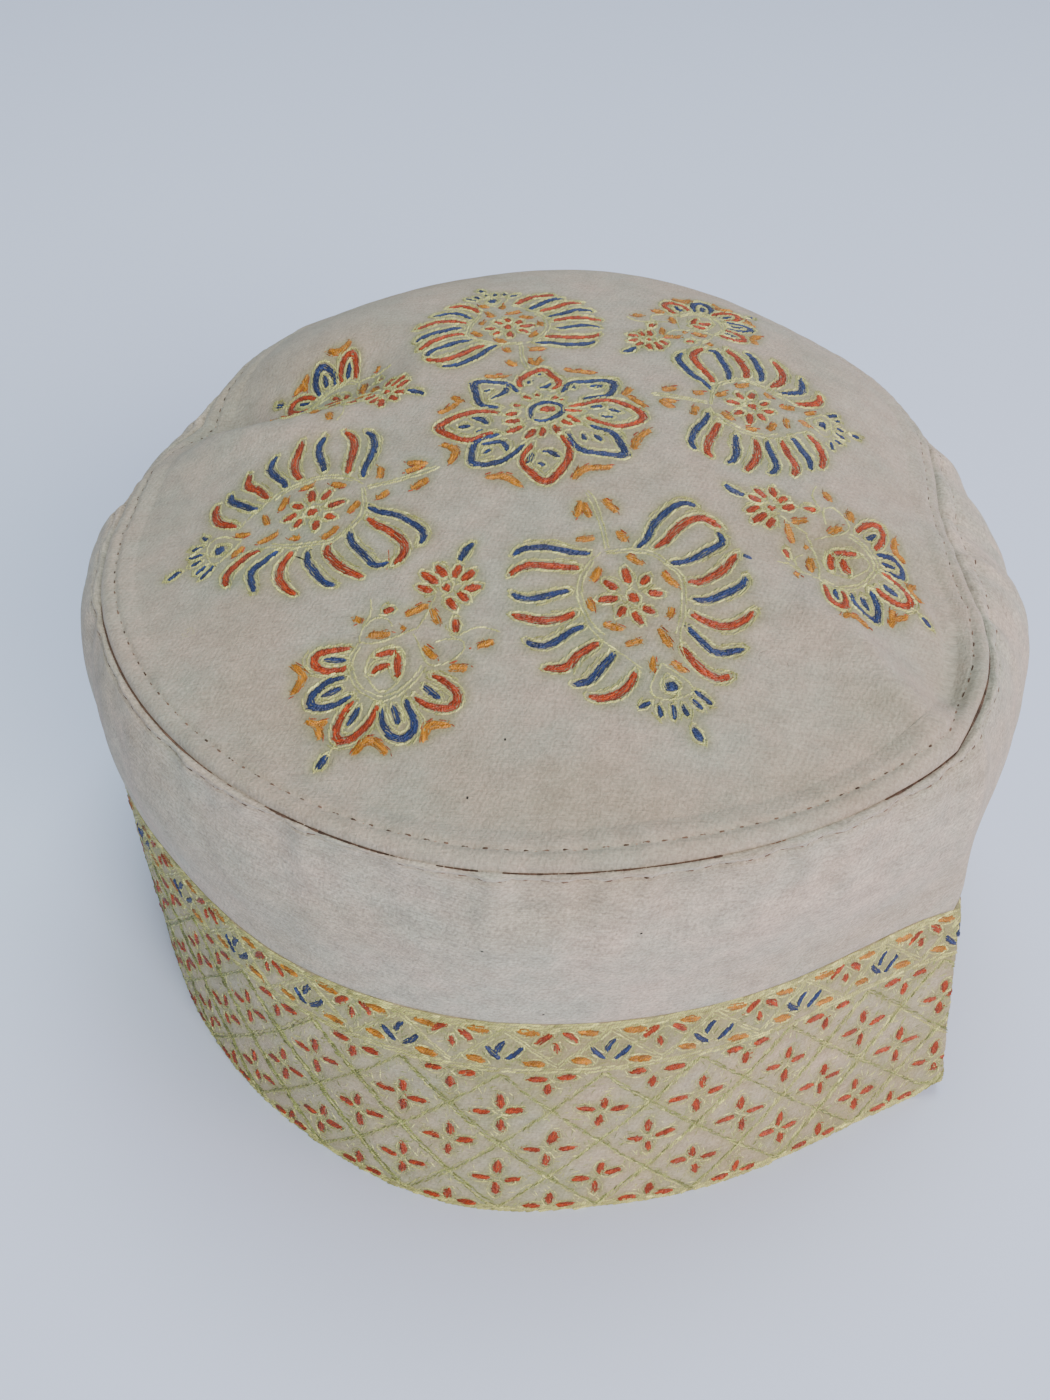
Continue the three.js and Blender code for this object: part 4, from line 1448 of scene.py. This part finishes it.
# Each by its thread, width and points on the crown laid flat
CROWN_MARKS = (
    ("blue", 0.9, ((32.9, -34.5), (34.5, -35.3))),
    ("dark", 0.2, (
        (36.4, -55.0), (34.8, -55.6), (34.7, -57.3), (37.0, -58.9), (39.6, -58.6), (39.5, -56.9),
    )),
    ("dark", 0.5, ((-49.7, -31.4), (-47.9, -32.7), (-46.3, -33.3), (-45.6, -32.5))),
    ("dark", 0.6, ((-15.3, -85.6), (-14.9, -85.6))),
    ("dark", 0.55, ((-9.4, -74.8), (-9.0, -74.8))),
    ("red", 0.45, ((-31.2, -31.2), (-31.0, -30.8))),
    ("red", 0.3, ((-31.4, -33.5), (-31.2, -35.5), (-31.5, -38.4))),
    ("red", 0.5, ((-15.9, -56.9), (-15.5, -56.5))),
    ("pale", 0.2, ((-69.0, -46.0), (-67.5, -47.4), (-66.2, -46.2), (-67.6, -45.2), (-68.8, -46.8))),
    ("pale", 0.18, ((-68.6, -47.6), (-67.2, -45.6), (-66.0, -47.2))),
)
# Specks on the wall: length along the seam and distance down from it
WALL_MARKS = ((411.3, 18.3), (421.2, 38.0), (436.0, 15.0))


def loose_marks():
    """Stray fibres and specks, as threads for the crown and for the wall."""
    crown = {"dark": Thread(101), "blue": Thread(102), "red": Thread(103), "pale": Thread(104)}
    for color, width, points in CROWN_MARKS:
        crown[color].line(points, width, pitch=0.7, length=1.0, height=width * 0.5, slant=0.0, rough=0.03)
    wall = Thread(105)
    for along, down in WALL_MARKS:
        wall.stitch((along - 0.25, down), (along + 0.25, down), 0.5, 0.2, 1.0)
    return crown, wall


# Section: finishes


def node_of(tree, kind, **settings):
    node = tree.nodes.new(kind)
    for key, value in settings.items():
        setattr(node, key, value)
    return node


def new_material(name):
    """A material with one shader joined to its output, its node tree and the shader."""
    made = bpy.data.materials.new(name)
    made.use_nodes = True
    tree = made.node_tree
    tree.nodes.clear()
    out = tree.nodes.new("ShaderNodeOutputMaterial")
    shader = tree.nodes.new("ShaderNodeBsdfPrincipled")
    tree.links.new(shader.outputs["BSDF"], out.inputs["Surface"])
    return made, tree, shader


def noise_of(tree, coords, scale, detail, rough):
    """A noise texture read at the given coordinates."""
    noise = tree.nodes.new("ShaderNodeTexNoise")
    noise.inputs["Scale"].default_value = scale
    noise.inputs["Detail"].default_value = detail
    noise.inputs["Roughness"].default_value = rough
    tree.links.new(coords, noise.inputs["Vector"])
    return noise.outputs["Fac"]


def spread_of(tree, value, low, high, to_low, to_high):
    """A value stretched from one range to another."""
    spread = tree.nodes.new("ShaderNodeMapRange")
    spread.inputs["From Min"].default_value = low
    spread.inputs["From Max"].default_value = high
    spread.inputs["To Min"].default_value = to_low
    spread.inputs["To Max"].default_value = to_high
    tree.links.new(value, spread.inputs["Value"])
    return spread.outputs["Result"]


def product_of(tree, first, second):
    node = node_of(tree, "ShaderNodeMath", operation="MULTIPLY")
    tree.links.new(first, node.inputs[0])
    tree.links.new(second, node.inputs[1])
    return node.outputs["Value"]


def blend_of(tree, kind, factor, first, second):
    """A mix of two colours, each a colour or another node's output."""
    mix = tree.nodes.new("ShaderNodeMix")
    mix.data_type = "RGBA"
    mix.blend_type = kind
    for socket, value in (("Factor", factor), ("A", first), ("B", second)):
        if isinstance(value, bpy.types.NodeSocket):
            tree.links.new(value, mix.inputs[socket])
        elif socket == "Factor":
            mix.inputs[socket].default_value = value
        else:
            mix.inputs[socket].default_value = (*value, 1)
    return mix.outputs["Result"]


def turned(tree, coords, degrees, stretch):
    turn = tree.nodes.new("ShaderNodeMapping")
    turn.inputs["Rotation"].default_value = (0, 0, math.radians(degrees))
    turn.inputs["Scale"].default_value = stretch
    tree.links.new(coords, turn.inputs["Vector"])
    return turn.outputs["Vector"]


def wool_material(name, tint, stitched_tint_and_shade, mottle=1.0):
    """Woollen twill: soft diagonal ribs, mixed fibres, hairy fuzz and uneven toning, with a green tint and
    painted shade on the ground near the stitches.
    """
    made, tree, cloth = new_material(name)
    link = tree.links.new
    cloth.inputs["Roughness"].default_value = 0.92
    cloth.inputs["Specular IOR Level"].default_value = 0.15
    cloth.inputs["Sheen Weight"].default_value = 0.2
    cloth.inputs["Sheen Roughness"].default_value = 0.5
    flat = node_of(tree, "ShaderNodeUVMap", uv_map="cloth").outputs["UV"]
    ribs = tree.nodes.new("ShaderNodeTexWave")
    ribs.wave_type = "BANDS"
    ribs.bands_direction = "X"
    ribs.inputs["Scale"].default_value = 0.34
    ribs.inputs["Distortion"].default_value = 7.0
    ribs.inputs["Detail"].default_value = 3.0
    ribs.inputs["Detail Scale"].default_value = 2.2
    link(turned(tree, flat, 25, (1, 1, 1)), ribs.inputs["Vector"])
    grain = noise_of(tree, flat, 1.5, 4.0, 0.78)
    streak = noise_of(tree, turned(tree, flat, 4, (0.25, 1.9, 1)), 1.0, 4.0, 0.65)
    fibres = noise_of(tree, turned(tree, flat, 62, (0.35, 3.4, 1)), 1.0, 3.0, 0.6)
    patches = noise_of(tree, flat, 0.05, 5.0, 0.62)
    stains = noise_of(tree, turned(tree, flat, 40, (0.7, 1.4, 1)), 0.028, 4.0, 0.55)
    relief = node_of(tree, "ShaderNodeMath", operation="MULTIPLY_ADD")
    link(ribs.outputs["Fac"], relief.inputs[0])
    relief.inputs[1].default_value = 0.1
    link(product_of(tree, grain, fibres), relief.inputs[2])
    bump = tree.nodes.new("ShaderNodeBump")
    bump.inputs["Strength"].default_value = 0.75
    bump.inputs["Distance"].default_value = 0.0006
    link(relief.outputs["Value"], bump.inputs["Height"])
    link(bump.outputs["Normal"], cloth.inputs["Normal"])
    cool = (tint[0] * 0.89, tint[1] * 0.97, tint[2] * 0.95)
    warm = (tint[0] * 1.07, tint[1] * 0.985, tint[2] * 0.95)
    base = blend_of(tree, "MIX", spread_of(tree, patches, 0.38, 0.62, 0, 1), cool, warm)
    dirty = (tint[0] * 0.84, tint[1] * 0.78, tint[2] * 0.68)
    base = blend_of(tree, "MIX", spread_of(tree, stains, 0.48, 0.75, 0, 0.85), base, dirty)
    # The green tint and painted shade near the stitches, read from the shade attribute.
    stitched_and_shaded = node_of(tree, "ShaderNodeAttribute", attribute_name="shade").outputs["Fac"]
    base = blend_of(tree, "MULTIPLY", stitched_and_shaded, base, stitched_tint_and_shade)
    blotches = noise_of(tree, flat, 0.24, 3.0, 0.6)
    deep = 0.34 * mottle
    grainy = spread_of(tree, grain, 0.25, 0.75, 1 - deep, 1 + deep)
    mixed = product_of(tree, grainy, spread_of(tree, streak, 0.25, 0.75, 0.94, 1.06))
    mixed = product_of(tree, mixed, spread_of(tree, fibres, 0.25, 0.75, 1 - deep * 0.4, 1 + deep * 0.4))
    mixed = product_of(tree, mixed, spread_of(tree, blotches, 0.3, 0.7, 1 - deep * 0.35, 1 + deep * 0.35))
    mixed = product_of(tree, mixed, spread_of(tree, ribs.outputs["Fac"], 0, 1, 0.955, 1.045))
    link(blend_of(tree, "MULTIPLY", 1.0, base, mixed), cloth.inputs["Base Color"])
    return made


def thread_material(name, color, shine=0.4, vary=0.16, specular=0.4):
    """Glossy twisted thread: fine plies along each stitch, each stitch of a shade of its own, which also
    holds painted glints and painted shade.
    """
    made, tree, yarn = new_material(name)
    link = tree.links.new
    yarn.inputs["Roughness"].default_value = shine
    yarn.inputs["Specular IOR Level"].default_value = specular
    yarn.inputs["Sheen Weight"].default_value = 0.1
    flat = node_of(tree, "ShaderNodeUVMap", uv_map="cloth").outputs["UV"]
    plies = tree.nodes.new("ShaderNodeTexWave")
    plies.wave_type = "BANDS"
    plies.bands_direction = "X"
    plies.inputs["Scale"].default_value = 1.1
    plies.inputs["Distortion"].default_value = 2.0
    link(turned(tree, flat, 55, (1, 1, 1)), plies.inputs["Vector"])
    bump = tree.nodes.new("ShaderNodeBump")
    bump.inputs["Strength"].default_value = 0.62
    bump.inputs["Distance"].default_value = 0.00012
    link(plies.outputs["Fac"], bump.inputs["Height"])
    link(bump.outputs["Normal"], yarn.inputs["Normal"])
    place = tree.nodes.new("ShaderNodeTexCoord").outputs["Object"]
    fade = spread_of(tree, noise_of(tree, place, 260.0, 4.0, 0.5), 0.3, 0.7, 1 - vary, 1 + vary)
    shade = node_of(tree, "ShaderNodeAttribute", attribute_name="shade").outputs["Fac"]
    # The shade attribute holds each stitch's tone together with painted glints and painted shade.
    faded_with_painted_light = product_of(tree, fade, shade)
    # Painted shade and highlight: the plies' stripes make the colour darker in the grooves and lighter on
    # the ridges.
    tone = product_of(tree, faded_with_painted_light, spread_of(tree, plies.outputs["Fac"], 0, 1, 0.72, 1.12))
    link(blend_of(tree, "MULTIPLY", 1.0, color, tone), yarn.inputs["Base Color"])
    return made


# Section: the operators' settings

# What every colour setting shares
COLOR = {"subtype": "COLOR", "size": 3, "min": 0, "max": 1}


class CapClothSettings(PropertyGroup):
    """Colours of the cloth."""

    crown_color: FloatVectorProperty(
        name="Crown", description="Colour of the crown's twill", default=(0.37, 0.333, 0.262), **COLOR
    )
    wall_color: FloatVectorProperty(
        name="Side wall", description="Colour of the wall's twill", default=(0.43, 0.388, 0.308), **COLOR
    )
    band_color: FloatVectorProperty(
        name="Band", description="Colour of the band's twill", default=(0.42, 0.36, 0.262), **COLOR
    )


class CapThreadSettings(PropertyGroup):
    """Colours of the embroidery and the sewing thread."""

    red: FloatVectorProperty(
        name="Red", description="Brick red thread", default=(0.36, 0.042, 0.003), **COLOR
    )
    blue: FloatVectorProperty(
        name="Blue", description="Blue thread", default=(0.015, 0.034, 0.125), **COLOR
    )
    orange: FloatVectorProperty(
        name="Orange", description="Orange thread", default=(0.47, 0.185, 0.005), **COLOR
    )
    pale: FloatVectorProperty(
        name="Pale green", description="Pale yellow-green thread", default=(0.53, 0.535, 0.18), **COLOR
    )
    olive: FloatVectorProperty(
        name="Olive", description="Duller green thread of the lattice", default=(0.24, 0.28, 0.075), **COLOR
    )
    seam: FloatVectorProperty(
        name="Seam", description="Brown sewing thread", default=(0.1, 0.062, 0.042), **COLOR
    )


class CapStageSettings(PropertyGroup):
    """Light and floor."""

    key_power: FloatProperty(
        name="Key light", description="Power of the front light", unit="POWER", default=83.0, min=0
    )
    floor_color: FloatVectorProperty(
        name="Floor", description="Colour of the plain floor", default=(0.7, 0.8, 1.0), **COLOR
    )


class CAP_OT_cloth(Operator):
    """Build the crown, the side wall and the band"""

    bl_idname = "cap.cloth"
    bl_label = "Cloth"

    def execute(self, context):
        settings = context.scene.cap_cloth
        # The second colours tint the ground near the stitches: green from fine thread, darkened as painted
        # shade.
        build_crown(wool_material("crown_wool", tuple(settings.crown_color), (0.76, 0.82, 0.62)))
        build_wall(wool_material("wall_wool", tuple(settings.wall_color), (1.0, 1.0, 1.0), 1.5))
        build_band(wool_material("band_wool", tuple(settings.band_color), (0.72, 0.79, 0.52)))
        return {"FINISHED"}


class CAP_OT_embroidery(Operator):
    """Lay the crown's and the band's embroidery"""

    bl_idname = "cap.embroidery"
    bl_label = "Embroidery"

    def execute(self, context):
        settings = context.scene.cap_thread
        dyes = {}
        for name in ("red", "blue", "orange", "pale", "olive"):
            dyes[name] = thread_material(name + "_thread", tuple(getattr(settings, name)))
        dyes["edge"] = dyes["pale"]
        dyes["fine"] = dyes["pale"]
        dyes["moss"] = dyes["olive"]
        for name, thread in CROWN_THREADS.items():
            piece_name = "crown_" + name + "_stitches"
            thread_object(piece_name, crown_surface, thread, dyes[name])
        for name, thread in BAND_THREADS.items():
            piece_name = "band_" + name + "_stitches"
            stations = FINE_STATIONS if name in ("fine", "moss") else STITCH_STATIONS
            thread_object(piece_name, band_surface, thread, dyes[name], stations)
        return {"FINISHED"}


class CAP_OT_seam(Operator):
    """Sew the topstitching and lay the thread down in the crown's seam, dark as painted shade of the crease
    """

    bl_idname = "cap.seam"
    bl_label = "Seam"

    def execute(self, context):
        dye = thread_material("seam_thread", tuple(context.scene.cap_thread.seam), shine=0.8, specular=0.1)
        crown, wall = seam_threads()
        thread_object("crown_topstitch", crown_edge_surface, crown, dye)
        thread_object("wall_topstitch", wall_edge_surface, wall, dye)
        thread_object("seam_crease_thread", crease_surface, crease_shade_thread(), dye)
        return {"FINISHED"}


class CAP_OT_wear(Operator):
    """Lay the stray fibres and specks"""

    bl_idname = "cap.wear"
    bl_label = "Wear"

    def execute(self, context):
        settings = context.scene.cap_thread
        crown, wall = loose_marks()
        dyes = {"dark": thread_material("stray_hair", (0.02, 0.018, 0.016), shine=0.6, specular=0.2)}
        for name in ("blue", "red", "pale"):
            dyes[name] = thread_material("stray_" + name, tuple(getattr(settings, name)))
        for name, thread in crown.items():
            piece_name = "stray_" + name + "_fibres"
            thread_object(piece_name, crown_surface, thread, dyes[name])
        thread_object("wall_specks", wall_edge_surface, wall, dyes["dark"])
        return {"FINISHED"}


# Where the camera stands: its aim in millimetres, its distance and its angles
AIM = (-5.18, -2.08, 50.0)
CAMERA_DISTANCE = 306.4
CAMERA_PITCH = 38.0
CAMERA_ROLL = 1.15
CAMERA_LENS = 36.0
SENSOR_WIDTH = 36.0


def aim(thing, place, target):
    thing.location = place
    thing.rotation_euler = (Vector(target) - Vector(place)).to_track_quat("-Z", "Y").to_euler()


def soft_light(name, place, size, power, color):
    data = bpy.data.lights.new(name, "AREA")
    data.shape = "RECTANGLE"
    data.size = size[0]
    data.size_y = size[1]
    data.energy = power
    data.color = color
    made = bpy.data.objects.new(name, data)
    bpy.context.scene.collection.objects.link(made)
    aim(made, place, (0, 0, 0.05))


class CAP_OT_stage(Operator):
    """Set up the camera, the soft light and the plain floor"""

    bl_idname = "cap.stage"
    bl_label = "Stage"

    def execute(self, context):
        settings = context.scene.cap_stage
        scene = context.scene
        pitch = math.radians(CAMERA_PITCH)
        camera_data = bpy.data.cameras.new("photo_camera")
        camera_data.lens = CAMERA_LENS
        camera_data.sensor_width = SENSOR_WIDTH
        camera_data.sensor_fit = "AUTO"
        camera_data.clip_start = 0.01
        camera_data.clip_end = 50.0
        camera = bpy.data.objects.new("photo_camera", camera_data)
        scene.collection.objects.link(camera)
        ahead = Vector((0, math.cos(pitch), -math.sin(pitch)))
        up = Vector((0, math.sin(pitch), math.cos(pitch)))
        right = Vector((1, 0, 0))
        roll = math.radians(CAMERA_ROLL)
        side = right * math.cos(roll) + up * math.sin(roll)
        top = up * math.cos(roll) - right * math.sin(roll)
        place = Vector(AIM) * MM - ahead * CAMERA_DISTANCE * MM
        rows = [(side[i], top[i], -ahead[i], place[i]) for i in range(3)]
        camera.matrix_world = Matrix([*rows, (0, 0, 0, 1)])
        scene.camera = camera
        world = bpy.data.worlds.new("pale_room")
        world.use_nodes = True
        world.node_tree.nodes["Background"].inputs["Color"].default_value = (0.84, 0.87, 0.95, 1)
        world.node_tree.nodes["Background"].inputs["Strength"].default_value = 0.38
        scene.world = world
        soft_light("key_light", (1.0, -2.2, 1.3), (1.5, 1.1), settings.key_power, (1.0, 0.96, 0.93))
        soft_light("top_light", (0.2, 0.6, 2.5), (1.4, 1.4), settings.key_power * 0.5, (0.8, 0.92, 1.0))
        soft_light("right_light", (2.2, -1.2, 0.8), (1.2, 1.0), settings.key_power * 0.28, (1.0, 0.42, 0.5))
        corners = [(-4.0, -4.0, 0.0), (4.0, -4.0, 0.0), (4.0, 4.0, 0.0), (-4.0, 4.0, 0.0)]
        mesh = bpy.data.meshes.new("floor")
        mesh.from_pydata(corners, [], [(0, 1, 2, 3)])
        floor = bpy.data.objects.new("floor", mesh)
        scene.collection.objects.link(floor)
        paint = bpy.data.materials.new("pale_floor")
        paint.use_nodes = True
        shader = paint.node_tree.nodes["Principled BSDF"]
        shader.inputs["Base Color"].default_value = (*settings.floor_color, 1)
        shader.inputs["Roughness"].default_value = 0.9
        shader.inputs["Specular IOR Level"].default_value = 0.2
        mesh.materials.append(paint)
        return {"FINISHED"}


class CAP_PT_panel(Panel):
    """Lists the cap's operators and settings"""

    bl_idname = "CAP_PT_panel"
    bl_label = "Kashmiri cap"
    bl_space_type = "VIEW_3D"
    bl_region_type = "UI"
    bl_category = "Cap"

    def draw(self, context):
        layout = self.layout
        layout.prop(context.scene.cap_cloth, "crown_color")
        layout.prop(context.scene.cap_cloth, "wall_color")
        layout.prop(context.scene.cap_cloth, "band_color")
        layout.operator("cap.cloth")
        for name in ("red", "blue", "orange", "pale", "olive", "seam"):
            layout.prop(context.scene.cap_thread, name)
        layout.operator("cap.embroidery")
        layout.operator("cap.seam")
        layout.operator("cap.wear")
        layout.prop(context.scene.cap_stage, "key_power")
        layout.prop(context.scene.cap_stage, "floor_color")
        layout.operator("cap.stage")


CLASSES = (
    CapClothSettings,
    CapThreadSettings,
    CapStageSettings,
    CAP_OT_cloth,
    CAP_OT_embroidery,
    CAP_OT_seam,
    CAP_OT_wear,
    CAP_OT_stage,
    CAP_PT_panel,
)


def register():
    for item in CLASSES:
        bpy.utils.register_class(item)
    bpy.types.Scene.cap_cloth = PointerProperty(type=CapClothSettings)
    bpy.types.Scene.cap_thread = PointerProperty(type=CapThreadSettings)
    bpy.types.Scene.cap_stage = PointerProperty(type=CapStageSettings)


def unregister():
    del bpy.types.Scene.cap_cloth
    del bpy.types.Scene.cap_thread
    del bpy.types.Scene.cap_stage
    for item in reversed(CLASSES):
        bpy.utils.unregister_class(item)


def main():
    register()
    bpy.ops.cap.cloth()
    bpy.ops.cap.embroidery()
    bpy.ops.cap.seam()
    bpy.ops.cap.wear()
    bpy.ops.cap.stage()


if __name__ == "__main__":
    main()
